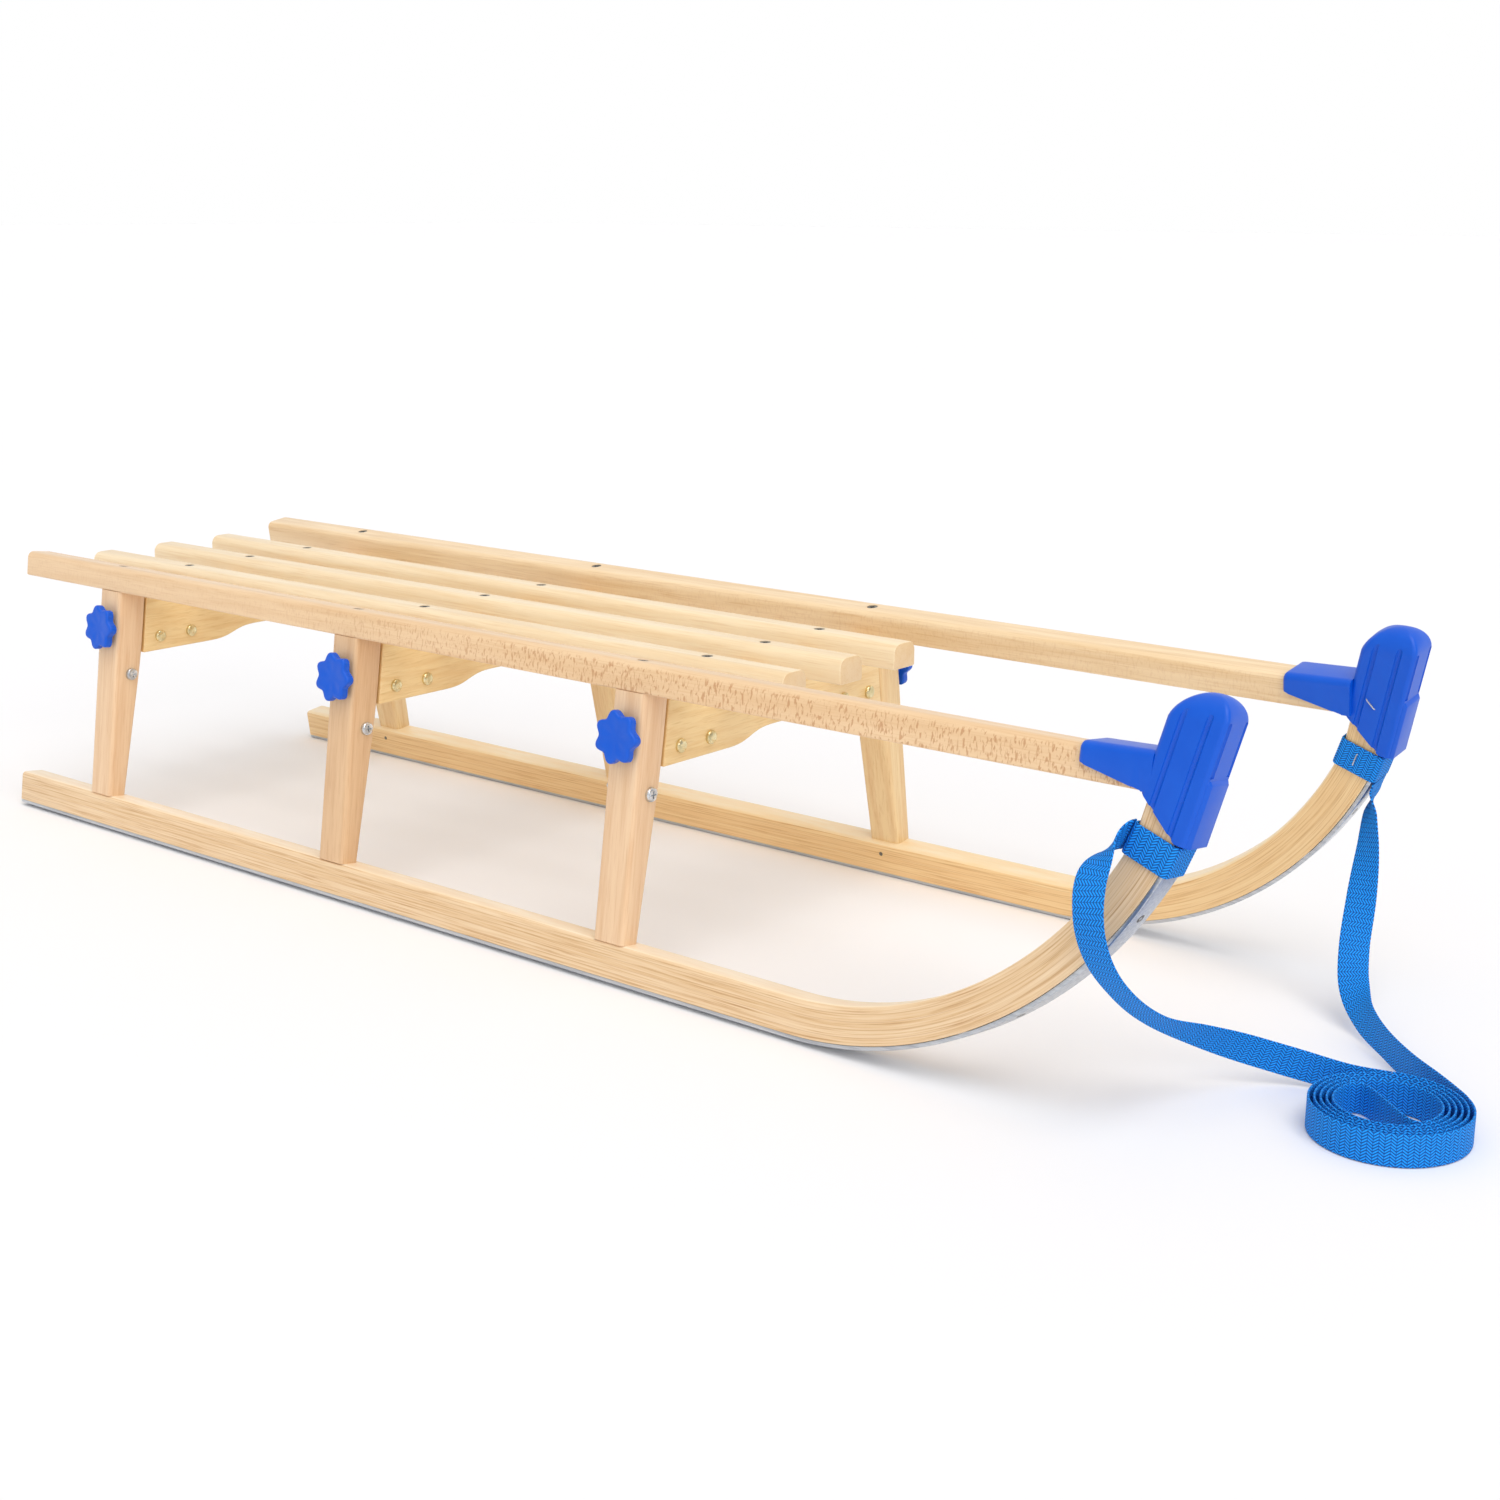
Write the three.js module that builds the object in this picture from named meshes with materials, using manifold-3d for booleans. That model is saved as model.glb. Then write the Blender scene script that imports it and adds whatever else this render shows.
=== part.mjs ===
import * as THREE from 'three';
import { mergeVertices } from 'three/addons/utils/BufferGeometryUtils.js';
import Module from 'manifold-3d';

// A wooden folding sledge in millimetres. +Z is up, +X is the direction of travel, +Y is the left side.
// Along X, places are measured from the front face of the rear legs until the last lines move the origin.
// Each side frame is drawn flat in its own plane: x forwards, w outwards from its outer face, h upwards.

const wasm = await Module();
wasm.setup();

// Clearances
const gap = 0.3;
const overrun = 6;
const boardEndGap = 0.8;

// Side frames
const frameLean = THREE.MathUtils.degToRad(8);
const frameHalfSpan = 175;

const shoe = { thickness: 2.7, hiddenLength: 10 };
const runner = {
  width: 22, thickness: 25, edgeRadius: 4, rearX: -131, bendX: 736,
  bendRadius: 277, bendDrop: 52.3,
  tipRadius: 130, tipAngle: THREE.MathUtils.degToRad(77), tipRise: 15.9,
};
const leg = {
  width: 26, depth: 28, footWidth: 16.5, edgeRadius: 3.5, taperDrop: 50, taperEase: 20,
  topHeight: 202, tenonDepth: 14, tenonWidth: 10, tenonLength: 16,
};
const legSpacingRear = 300;
const legSpacingFront = 291;
const outerSlat = { width: 26, thickness: 21, edgeRadius: 5.5, rearOverhang: 138 };

// Seat
const innerSlat = { width: 26, thickness: 19, edgeRadius: 7.5, rise: 13, frontOverhang: 64 };
const innerSlatPitch = 65;
const lowerEdgeShare = 0.25;
const board = { endDepth: 47, middleDepth: 38.4, shoulderY: 56, crownY: 8, edgeRadius: 1.5 };
const bracket = { thickness: 3, width: 18 };

// Fasteners
const seatScrew = { headRadius: 4, headHeight: 3, shaftRadius: 2, length: 42, tip: 6 };
const slatScrew = { headRadius: 4, headHeight: 3, shaftRadius: 2, length: 38, tip: 6, edgeDistance: 12 };
const shoeScrew = { headRadius: 3, headHeight: 1.8, shaftRadius: 1.5, length: 16, tip: 4 };
const footPin = { shaftRadius: 0.9, length: 14, drop: 9 };
const boardBolt = {
  headRadius: 5, headHeight: 3.2, shaftRadius: 2.5, spare: 2, drop: 34.7, endDistance: 15.7, pitch: 32,
};
const pivotBolt = { headRadius: 5.2, headHeight: 3.2, shaftRadius: 2.5, drop: 69, inset: 15 };
const nut = { flats: 8, thickness: 4.6 };
const panShoulderShare = 0.45;
const panTopShare = 0.62;

// Knobs and the nuts that they screw into
const knob = {
  lobes: 7, radius: 19, lobeHeight: 1.9, skirtRadius: 11, skirtHeight: 2.7, headHeight: 6.5,
  edgeRadius: 1.6, dishRadius: 9, dishDepth: 0.8, boreDepth: 6, drop: 31,
};
const knobCrestShare = 0.3;
const stud = { radius: 3, washerRadius: 8, washerThickness: 1.2, engagement: 5 };
const insertNut = { radius: 6, length: 9.5, rise: 1.5, swing: 3 };

// Front caps
const cap = {
  rearWall: 3.6, frontWall: 8, lowerWall: 6.5, sideWall: 2.7, roof: 8.1, rearCorner: 6, frontCorner: 3,
  dropFront: 5.2, domeHeight: 15.6, domeInset: 12, rearCutRise: 0.6, cutFront: 1.4,
  blockShare: 0.535, blockInset: 4.5, blockBevel: 1.2, grooveWidth: 2, grooveDepth: 1.1,
  rearGroove: 10.2, frontGroove: 26.1, padInset: 4,
};
const domeStart = THREE.MathUtils.degToRad(20);
const domeSpread = 0.6;
const hood = { length: 42, sideWall: 2.7, topWall: 3.2, tipTopWall: 1.6, tipSkirt: 11, edgeRadius: 5, corner: 2.5 };
const hoodRoot = { inset: 2.5, depth: 5 };

// Pull strap
const strap = { width: 20, thickness: 1.3, loopEase: 0.8, loopCorner: 3.5, loopToCap: 1.27 };
const staple = { wire: 1.1, crown: 10, leg: 7 };
const capStapleRiseShare = 0.774;
const capStapleAngle = THREE.MathUtils.degToRad(-56);
const coil = { x: 1091, y: -60, floorGap: 0.4, innerRadius: 30.42, pitch: 7, nearTurns: 2.311, farTurns: 2.631 };
const coilFarStart = THREE.MathUtils.degToRad(45);
const coilStepsPerTurn = 24;
const coilBridgeSteps = 12;
const coilBridgeReachShare = 0.95;
const coilBridgeTilt = THREE.MathUtils.degToRad(-36);

// Heights and places that follow from the sizes above
const legCentres = [0, legSpacingRear, legSpacingRear + legSpacingFront].map((front) => front - leg.depth / 2);
const places = ['rear', 'middle', 'front'];
const lift = runner.width * Math.sin(frameLean);
const woodBase = shoe.thickness + gap;
const footHeight = woodBase + runner.thickness + gap;
const outerSlatBase = leg.topHeight + gap;
const outerSlatTop = outerSlatBase + outerSlat.thickness;
const seatHeight = leg.topHeight + innerSlat.rise;
const boardTop = seatHeight - innerSlat.thickness - gap;
const boardBoltHeight = boardTop - boardBolt.drop;
const pivotHeight = leg.topHeight - pivotBolt.drop;
const bracketRear = -leg.depth - gap - bracket.thickness;
const boltEnd = bracketRear - gap - nut.thickness - boardBolt.spare;
const seatBack = -outerSlat.rearOverhang;
const bendAngle = Math.acos(1 - (outerSlatBase - runner.bendDrop - woodBase) / runner.bendRadius);
const knobHeight = leg.topHeight - knob.drop;
const loopDrop = strap.width / 2 + strap.loopToCap + cap.dropFront;
const loopAngle = runner.tipAngle - loopDrop / (runner.tipRadius + woodBase);

// Solids

function solid(geometry) {
  const bare = geometry.clone();
  bare.deleteAttribute('normal');
  bare.deleteAttribute('uv');
  const merged = mergeVertices(bare);
  const corners = merged.index.array;
  const kept = [];
  for (let i = 0; i < corners.length; i += 3) {
    const [a, b, c] = corners.slice(i, i + 3);
    if (a !== b && b !== c && c !== a) kept.push(a, b, c);
  }
  return new wasm.Manifold(new wasm.Mesh({
    numProp: 3,
    vertProperties: new Float32Array(merged.attributes.position.array),
    triVerts: new Uint32Array(kept),
  }));
}

function geometryOf(manifold) {
  const mesh = manifold.getMesh();
  const geometry = new THREE.BufferGeometry();
  geometry.setAttribute('position', new THREE.BufferAttribute(new Float32Array(mesh.vertProperties), 3));
  geometry.setIndex([...mesh.triVerts]);
  geometry.computeVertexNormals();
  return geometry;
}

function cutAway(base, cutters) {
  return geometryOf(cutters.reduce((rest, cutter) => rest.subtract(solid(cutter)), solid(base)));
}

function common(first, second) {
  return geometryOf(solid(first).intersect(solid(second)));
}

function joined(geometries) {
  return geometryOf(geometries.map(solid).reduce((whole, piece) => whole.add(piece)));
}

// The mirror image across the plane y = 0, with its faces turned outwards again
function mirrored(geometry) {
  const bare = geometry.index ? geometry.toNonIndexed() : geometry.clone();
  bare.deleteAttribute('normal');
  bare.deleteAttribute('uv');
  const position = bare.attributes.position;
  for (let i = 0; i < position.count; i += 3) {
    const corners = [0, 1, 2].map((k) => new THREE.Vector3().fromBufferAttribute(position, i + k));
    const [a, b, c] = corners.map((p) => p.setY(-p.y));
    [a, c, b].forEach((p, k) => position.setXYZ(i + k, p.x, p.y, p.z));
  }
  return mergeVertices(bare);
}

// Shapes

function polygon(points) {
  return new THREE.Shape(points.map(([x, y]) => new THREE.Vector2(x, y)));
}

function extruded(shape, length, bevel = 0, curveSegments = 6, bevelSegments = 2) {
  const geometry = new THREE.ExtrudeGeometry(shape, {
    depth: length - 2 * bevel,
    bevelEnabled: bevel > 0,
    bevelThickness: bevel,
    bevelSize: bevel,
    bevelOffset: -bevel,
    bevelSegments,
    curveSegments,
  });
  return geometry.translate(0, 0, bevel);
}

// An (x, h) outline, extruded inwards over the given width from the outer place w
function acrossFrame(shape, w, width, bevel = 0, curveSegments = 6) {
  return extruded(shape, width, bevel, curveSegments).rotateX(Math.PI / 2).translate(0, w, 0);
}

// A (y, z) outline, extruded forwards from x over the given length
function alongX(shape, x, length, bevel = 0, curveSegments = 6, bevelSegments = 2) {
  const turn = new THREE.Matrix4().makeBasis(
    new THREE.Vector3(0, 1, 0), new THREE.Vector3(0, 0, 1), new THREE.Vector3(1, 0, 0),
  );
  return extruded(shape, length, bevel, curveSegments, bevelSegments).applyMatrix4(turn).translate(x, 0, 0);
}

function box(xRange, yRange, zRange) {
  const low = new THREE.Vector3(xRange[0], yRange[0], zRange[0]);
  const high = new THREE.Vector3(xRange[1], yRange[1], zRange[1]);
  const size = high.clone().sub(low);
  const centre = low.add(high).multiplyScalar(0.5);
  return new THREE.BoxGeometry(size.x, size.y, size.z).translate(centre.x, centre.y, centre.z);
}

// A body turned about the Z axis from an outline of radius and height, given from its low end up
function turned(outline, segments) {
  const points = outline.map(([radius, height]) => new THREE.Vector2(radius, height));
  return new THREE.LatheGeometry(points, segments).rotateX(Math.PI / 2);
}

function rod(radius, low, high, segments = 8) {
  return turned([[0, low], [radius, low], [radius, high], [0, high]], segments);
}

// Points the Z axis of a geometry along X or along Y
const facingX = (geometry) => geometry.rotateY(Math.PI / 2);
const facingY = (geometry) => geometry.rotateX(-Math.PI / 2);

// A rectangle from (left, low) to (right, high) whose upper and lower corners have their own radii
function roundedRectangle(left, right, low, high, upperRadius, lowerRadius) {
  const shape = new THREE.Shape();
  const corners = [
    [right - lowerRadius, low + lowerRadius, lowerRadius, -Math.PI / 2],
    [right - upperRadius, high - upperRadius, upperRadius, 0],
    [left + upperRadius, high - upperRadius, upperRadius, Math.PI / 2],
    [left + lowerRadius, low + lowerRadius, lowerRadius, Math.PI],
  ];
  for (const [x, y, radius, start] of corners) {
    if (radius > 0) shape.absarc(x, y, radius, start, start + Math.PI / 2, false);
    else shape.lineTo(x, y);
  }
  return shape;
}

// A strip with round ends between two places
function strip(start, end, radius) {
  const along = new THREE.Vector2(end[0] - start[0], end[1] - start[1]).angle();
  const shape = new THREE.Shape();
  shape.absarc(end[0], end[1], radius, along - Math.PI / 2, along + Math.PI / 2, false);
  shape.absarc(start[0], start[1], radius, along + Math.PI / 2, along + Math.PI * 1.5, false);
  return shape;
}

// A closed body through rings of points, each ring with the same count, closed by a fan at both ends
function loft(rings) {
  const count = rings[0].length;
  const points = rings.flat();
  const triangles = [];
  for (let ring = 0; ring + 1 < rings.length; ring += 1) {
    for (let k = 0; k < count; k += 1) {
      const next = (k + 1) % count;
      const [a, b] = [ring * count + k, ring * count + next];
      triangles.push(a, b, b + count, a, b + count, a + count);
    }
  }
  const closings = [[rings[0], 0, true], [rings.at(-1), (rings.length - 1) * count, false]];
  for (const [ring, offset, flipped] of closings) {
    const centre = ring.reduce((sum, p) => sum.add(p), new THREE.Vector3()).divideScalar(count);
    points.push(centre);
    for (let k = 0; k < count; k += 1) {
      const pair = [offset + k, offset + ((k + 1) % count)];
      triangles.push(...(flipped ? pair.reverse() : pair), points.length - 1);
    }
  }
  const geometry = new THREE.BufferGeometry().setFromPoints(points);
  geometry.setIndex(triangles);
  return geometry;
}

// Fasteners and their holes

// The hole of a countersunk screw whose head ends at the origin, open above it
function countersunkHole({ headRadius, headHeight, shaftRadius, length, tip }) {
  const hole = shaftRadius + gap;
  return turned([
    [0, -length - gap], [hole, tip - length - gap], [hole, -headHeight],
    [headRadius + gap, -gap], [headRadius + gap, overrun], [0, overrun],
  ], 8);
}

// A pan head bolt and its nut along X, the head's seat at x = gap and the nut against the bracket
function boltWithNut({ headRadius, headHeight, shaftRadius }, y, z) {
  const bolt = turned([
    [0, boltEnd], [shaftRadius, boltEnd], [shaftRadius, gap], [headRadius, gap],
    [headRadius, gap + headHeight * panShoulderShare],
    [headRadius * panTopShare, gap + headHeight], [0, gap + headHeight],
  ], 8);
  const nutFace = bracketRear - gap;
  const hexagon = rod(nut.flats / 2 / Math.cos(Math.PI / 6), nutFace - nut.thickness, nutFace, 6);
  return facingX(joined([bolt, hexagon])).translate(0, y, z);
}

// The runner's curve

const bendCentre = new THREE.Vector2(runner.bendX, woodBase + runner.bendRadius);
const tipCentre = bendCentre.clone().addScaledVector(
  new THREE.Vector2(Math.sin(bendAngle), -Math.cos(bendAngle)),
  runner.bendRadius - runner.tipRadius,
);

// The tip's straight end reaches a set rise above the outer slat
const [tipX, tipH] = arcPoint(tipCentre, runner.tipRadius, runner.tipAngle);
const tipLength = (outerSlatTop + runner.tipRise - tipH) / Math.sin(runner.tipAngle);
const rimHeight = tipLength + gap + cap.roof;
const blockRise = rimHeight * cap.blockShare;

function arcPoint(centre, radius, angle) {
  return [centre.x + radius * Math.sin(angle), centre.y - radius * Math.cos(angle)];
}

// The line at a given distance above the lower face of the wood, from the rear end to the tip
function runnerLine(offset, rearX, straight) {
  const points = [[rearX, woodBase + offset]];
  const bendSteps = 14;
  const tipSteps = 4;
  for (let k = 0; k <= bendSteps; k += 1) {
    points.push(arcPoint(bendCentre, runner.bendRadius - offset, (bendAngle * k) / bendSteps));
  }
  for (let k = 1; k <= tipSteps; k += 1) {
    const angle = THREE.MathUtils.lerp(bendAngle, runner.tipAngle, k / tipSteps);
    points.push(arcPoint(tipCentre, runner.tipRadius - offset, angle));
  }
  const [x, h] = points.at(-1);
  points.push([x + straight * Math.cos(runner.tipAngle), h + straight * Math.sin(runner.tipAngle)]);
  return points;
}

function runnerBand(low, high, rearX, straight) {
  return polygon([...runnerLine(low, rearX, straight), ...runnerLine(high, rearX, straight).reverse()]);
}

// A frame square to the runner at an angle of its curve: x' forwards out of the wood, z' along the curve
function onRunner(geometry, centre, radius, angle) {
  const [x, h] = arcPoint(centre, radius, angle);
  return geometry.rotateY(Math.PI / 2 - angle).translate(x, 0, h);
}

// The screws of the shoe sit along the flat, then up the curve
const shoeScrewFlatShares = [0.09, 0.36, 0.74];
const shoeScrewAngles = [0.58, 0.92].map((share) => share * bendAngle);

function shoeScrewHoles() {
  const flat = runner.bendX - runner.rearX;
  const straight = shoeScrewFlatShares.map((share) => countersunkHole(shoeScrew).rotateX(Math.PI)
    .translate(runner.rearX + flat * share, -runner.width / 2, 0));
  const bent = shoeScrewAngles.map((angle) => {
    const outwards = facingX(countersunkHole(shoeScrew)).translate(0, -runner.width / 2, 0);
    return onRunner(outwards, bendCentre, runner.bendRadius + woodBase, angle);
  });
  return [...straight, ...bent];
}

// Side frame pieces, drawn for the left side with y = w

function footPinHole(x) {
  const { shaftRadius, length } = footPin;
  return facingY(rod(shaftRadius + gap, -overrun, length + gap, 8))
    .translate(x, -runner.width, footHeight - gap - footPin.drop);
}

function mortise(x, ease) {
  const middle = -leg.footWidth / 2;
  return box(
    [x - leg.tenonLength / 2 - ease, x + leg.tenonLength / 2 + ease],
    [middle - leg.tenonWidth / 2 - ease, middle + leg.tenonWidth / 2 + ease],
    [footHeight - leg.tenonDepth - ease, footHeight + leg.edgeRadius],
  );
}

function loopStaple(ease = 0) {
  return stapleAt(0, -runner.width - strap.loopEase - strap.thickness - gap, 0, ease);
}

// A staple driven in from the inner side, its crown along z, with its legs towards +y
function stapleAt(x, y, z, ease) {
  const half = staple.wire / 2 + ease;
  const reach = staple.crown / 2;
  const crown = box([-half, half], [-staple.wire, ease], [-reach - ease, reach + ease]);
  const legs = [-1, 1].map((side) => {
    const middle = side * (reach - staple.wire / 2);
    return box([-half, half], [-staple.wire / 2, staple.leg + ease], [middle - half, middle + half]);
  });
  return joined([crown, ...legs]).translate(x, y, z);
}

function onLoop(geometry) {
  return onRunner(geometry, tipCentre, runner.tipRadius - runner.thickness / 2, loopAngle);
}

// The cap's own frame: n forwards, square to the runner's tip, and t up along the tip
const tipTurn = Math.PI / 2 - runner.tipAngle;
const onTip = (geometry) => geometry.rotateY(tipTurn).translate(tipX, 0, tipH);

// The place t of a point at n that lies at height h of the side frame
const onTipHeight = (n, h) => (h - tipH + n * Math.sin(tipTurn)) / Math.cos(tipTurn);

const capStaple = (ease = 0) => onTip(
  stapleAt(0, 0, 0, ease).rotateY(capStapleAngle)
    .translate(-runner.thickness / 2, -runner.width - gap - cap.sideWall - gap, blockRise * capStapleRiseShare),
);

function runnerGeometry() {
  const { width, thickness, edgeRadius, rearX } = runner;
  const rounded = acrossFrame(
    runnerBand(-edgeRadius, thickness, rearX, tipLength), 0, width, edgeRadius,
  );
  const plain = acrossFrame(
    runnerBand(0, thickness + overrun, rearX - overrun, tipLength + overrun), overrun, width + 2 * overrun,
  );
  return cutAway(common(rounded, plain), [
    ...legCentres.map((x) => mortise(x, gap)),
    ...legCentres.map(footPinHole),
    ...shoeScrewHoles(),
    onLoop(loopStaple(gap)),
    capStaple(gap),
  ]);
}

function shoeGeometry() {
  const band = runnerBand(-woodBase, -gap, runner.rearX, shoe.hiddenLength);
  return cutAway(acrossFrame(band, 0, runner.width), shoeScrewHoles());
}

function pivotHole() {
  const { shaftRadius, inset } = pivotBolt;
  return facingX(rod(shaftRadius + gap, -leg.depth - overrun, overrun)).translate(0, -inset, pivotHeight);
}

function legGeometry(x) {
  const { width, depth, footWidth, topHeight, taperDrop, taperEase, edgeRadius } = leg;
  const taperTop = topHeight - taperDrop;
  const slope = (width - footWidth) / (taperTop - footHeight);
  const easedW = -width + slope * taperEase;
  const outline = new THREE.Shape();
  outline.moveTo(0, topHeight + overrun);
  outline.lineTo(-width, topHeight + overrun);
  outline.lineTo(-width, taperTop + taperEase);
  outline.quadraticCurveTo(-width, taperTop, easedW, taperTop - taperEase);
  outline.lineTo(-footWidth, footHeight);
  outline.lineTo(-footWidth, footHeight - overrun);
  outline.lineTo(0, footHeight - overrun);
  outline.closePath();
  const post = common(
    alongX(outline, -depth, depth, edgeRadius, 3),
    box([-depth - overrun, overrun], [-width - overrun, overrun], [footHeight, topHeight]),
  );
  const centre = -depth / 2;
  const knobHole = facingY(rod(stud.radius + gap, -width - overrun, overrun))
    .translate(centre, 0, knobHeight);
  return cutAway(joined([post, mortise(centre, 0)]), [
    pivotHole(),
    knobHole,
    slatScrewHole(centre),
    footPinHole(centre),
  ]).translate(x - centre, 0, 0);
}

function slatScrewHole(x) {
  return countersunkHole(slatScrew).translate(x, -slatScrew.edgeDistance, outerSlatTop);
}

const hornRear = -runner.thickness;

function outerSlatGeometry() {
  const { width, edgeRadius } = outerSlat;
  const section = roundedRectangle(
    -width, 0, outerSlatBase, outerSlatTop, edgeRadius, edgeRadius * lowerEdgeShare,
  );
  const end = tipX + runner.thickness;
  const slat = alongX(section, seatBack, end - seatBack, 0, 4);
  const beyondHorn = onTip(box(
    [hornRear - gap, 2 * runner.thickness], [-width - overrun, overrun],
    [-outerSlat.thickness, rimHeight + overrun],
  ));
  return cutAway(slat, [beyondHorn, ...legCentres.map(slatScrewHole)]);
}

// Front cap

const capMiddle = -runner.width / 2;
const capRear = hornRear - gap - cap.rearWall;
const capFront = gap + cap.frontWall;
const capHalfWidth = runner.width / 2 + gap + cap.sideWall;
const capBlockFront = woodBase + gap + cap.lowerWall;

// A level line rises by this share of its way forwards, in the tip's own frame
const levelSlope = 1 / Math.tan(runner.tipAngle);

function capRing(height, slope, inset) {
  const halfLength = (capFront - capRear) / 2 - inset;
  const halfWidth = capHalfWidth - inset;
  const middle = (capFront + capRear) / 2;
  const cornerSteps = 3;
  const ring = [];
  for (const [signX, signY, start] of [[1, 1, 0], [-1, 1, 0.5], [-1, -1, 1], [1, -1, 1.5]]) {
    const corner = signX > 0 ? cap.frontCorner : cap.rearCorner;
    const radius = Math.min(corner + inset * domeSpread, halfWidth);
    for (let k = 0; k <= cornerSteps; k += 1) {
      const angle = (start + k / cornerSteps / 2) * Math.PI;
      const x = middle + signX * (halfLength - radius) + radius * Math.cos(angle);
      const y = capMiddle + signY * (halfWidth - radius) + radius * Math.sin(angle);
      ring.push(new THREE.Vector3(x, y, height + x * slope));
    }
  }
  return ring;
}

// The rim and the dome over it stand level, while the walls follow the tip
function capBody() {
  const domeSteps = 4;
  const rings = [capRing(-cap.dropFront, 0, 0)];
  for (let k = 0; k <= domeSteps; k += 1) {
    const angle = THREE.MathUtils.lerp(domeStart, Math.PI / 2, k / domeSteps);
    const inset = (1 - Math.cos(angle) / Math.cos(domeStart)) * cap.domeInset;
    const rise = (Math.sin(angle) - Math.sin(domeStart)) / (1 - Math.sin(domeStart));
    rings.push(capRing(rimHeight + rise * cap.domeHeight, levelSlope, inset));
  }
  return loft(rings);
}

function capBlock() {
  const halfWidth = capHalfWidth - cap.blockInset;
  const section = polygon([
    [0, capMiddle - capHalfWidth + cap.blockBevel], [capFront, capMiddle - capHalfWidth + cap.blockBevel],
    [capBlockFront, capMiddle - halfWidth], [capBlockFront, capMiddle + halfWidth],
    [capFront, capMiddle + capHalfWidth - cap.blockBevel], [0, capMiddle + capHalfWidth - cap.blockBevel],
  ]);
  const length = blockRise + cap.dropFront;
  const slope = capBlockFront - capFront;
  const block = extruded(section, length).translate(0, 0, -cap.dropFront);
  const profile = polygon([
    [-overrun, -cap.dropFront - overrun], [capBlockFront + overrun, -cap.dropFront - overrun],
    [capBlockFront + overrun, blockRise - slope - overrun], [capBlockFront, blockRise - slope],
    [capFront, blockRise], [-overrun, blockRise],
  ]);
  return common(block, acrossFrame(profile, overrun, 2 * (capHalfWidth + overrun)));
}

function hoodBody() {
  const { length, sideWall, topWall, tipTopWall, tipSkirt, edgeRadius, corner } = hood;
  const slatRise = outerSlatBase + outerSlat.thickness / 2 - tipH;
  const rearX = tipX + slatRise * levelSlope + capRear - hoodRoot.inset;
  const rootX = rearX + hoodRoot.depth;
  const tip = rearX - length;
  const [outside, inside] = [gap + sideWall, -outerSlat.width - gap - sideWall];
  const top = outerSlatTop + gap + topWall;
  const section = roundedRectangle(inside, outside, outerSlatBase - overrun, top, edgeRadius, 0);
  const sideView = polygon([
    [rootX, top + overrun], [rootX, outerSlatBase], [rearX - gap, outerSlatBase],
    [tip, outerSlatTop - tipSkirt], [tip, outerSlatTop + gap], [tip + corner / 2, outerSlatTop + gap + tipTopWall],
    [rearX, top], [rearX, top + overrun],
  ]);
  const planView = polygon([
    [rootX + overrun, outside + overrun], [rootX + overrun, inside - overrun], [tip + corner, inside - overrun],
    [tip + corner, inside], [tip, inside + corner], [tip, outside - corner],
    [tip + corner, outside], [tip + corner, outside + overrun],
  ].reverse());
  const bar = alongX(section, tip, rootX - tip, 0, 4);
  const sides = acrossFrame(sideView, outside + overrun, outside - inside + 2 * overrun);
  const plan = extruded(planView, top).translate(0, 0, outerSlatBase - overrun);
  return common(common(bar, sides), plan);
}

function capCavities() {
  const horn = box(
    [hornRear - gap, gap], [-runner.width - gap, gap], [-runner.tipRadius / 2, tipLength + gap],
  );
  const shoePocket = box(
    [-gap, woodBase + gap], [-runner.width - gap, gap], [-runner.tipRadius / 2, shoe.hiddenLength + gap],
  );
  const cutRear = onTipHeight(capRear, outerSlatBase + cap.rearCutRise);
  const rearCut = polygon([
    [capRear - overrun, -runner.tipRadius / 2], [cap.cutFront, -runner.tipRadius / 2],
    [cap.cutFront, -cap.dropFront], [capRear, cutRear], [capRear - overrun, cutRear],
  ]);
  const { width, thickness, edgeRadius } = outerSlat;
  const slatSection = roundedRectangle(
    -width - gap, gap, outerSlatBase - gap, outerSlatBase + thickness + gap, edgeRadius, 0,
  );
  const start = tipX - hood.length - 2 * runner.thickness - overrun;
  const slatRoom = common(
    alongX(slatSection, start, tipX + runner.thickness - start, 0, 4),
    onTip(box([start - tipX, hornRear], [-width - overrun, overrun], [-rimHeight, 2 * rimHeight])),
  );
  return [
    onTip(horn), onTip(shoePocket), slatRoom,
    onTip(acrossFrame(rearCut, capMiddle + capHalfWidth + overrun, 2 * (capHalfWidth + overrun))),
    capStaple(gap),
  ];
}

function capGrooves() {
  const { grooveWidth, grooveDepth, dropFront, padInset } = cap;
  const [outside, inside] = [capMiddle + capHalfWidth, capMiddle - capHalfWidth];
  const grooves = [];
  for (const place of [cap.rearGroove, cap.frontGroove]) {
    const range = [capRear + place - grooveWidth / 2, capRear + place + grooveWidth / 2];
    const height = [-dropFront - overrun, rimHeight + (capRear + place) * levelSlope];
    grooves.push(box(range, [outside - grooveDepth, outside + overrun], height));
    grooves.push(box(range, [inside - overrun, inside + grooveDepth], height));
  }
  for (const side of [-1, 1]) {
    const place = capMiddle + side * (capHalfWidth - padInset);
    const range = [place - grooveWidth / 2, place + grooveWidth / 2];
    grooves.push(box([capFront - grooveDepth, capFront + overrun], range, [blockRise + gap, rimHeight]));
  }
  return grooves.map(onTip);
}

function capGeometry() {
  const outside = joined([onTip(capBody()), onTip(capBlock()), hoodBody()]);
  return cutAway(outside, [...capCavities(), ...capGrooves()]);
}

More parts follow.
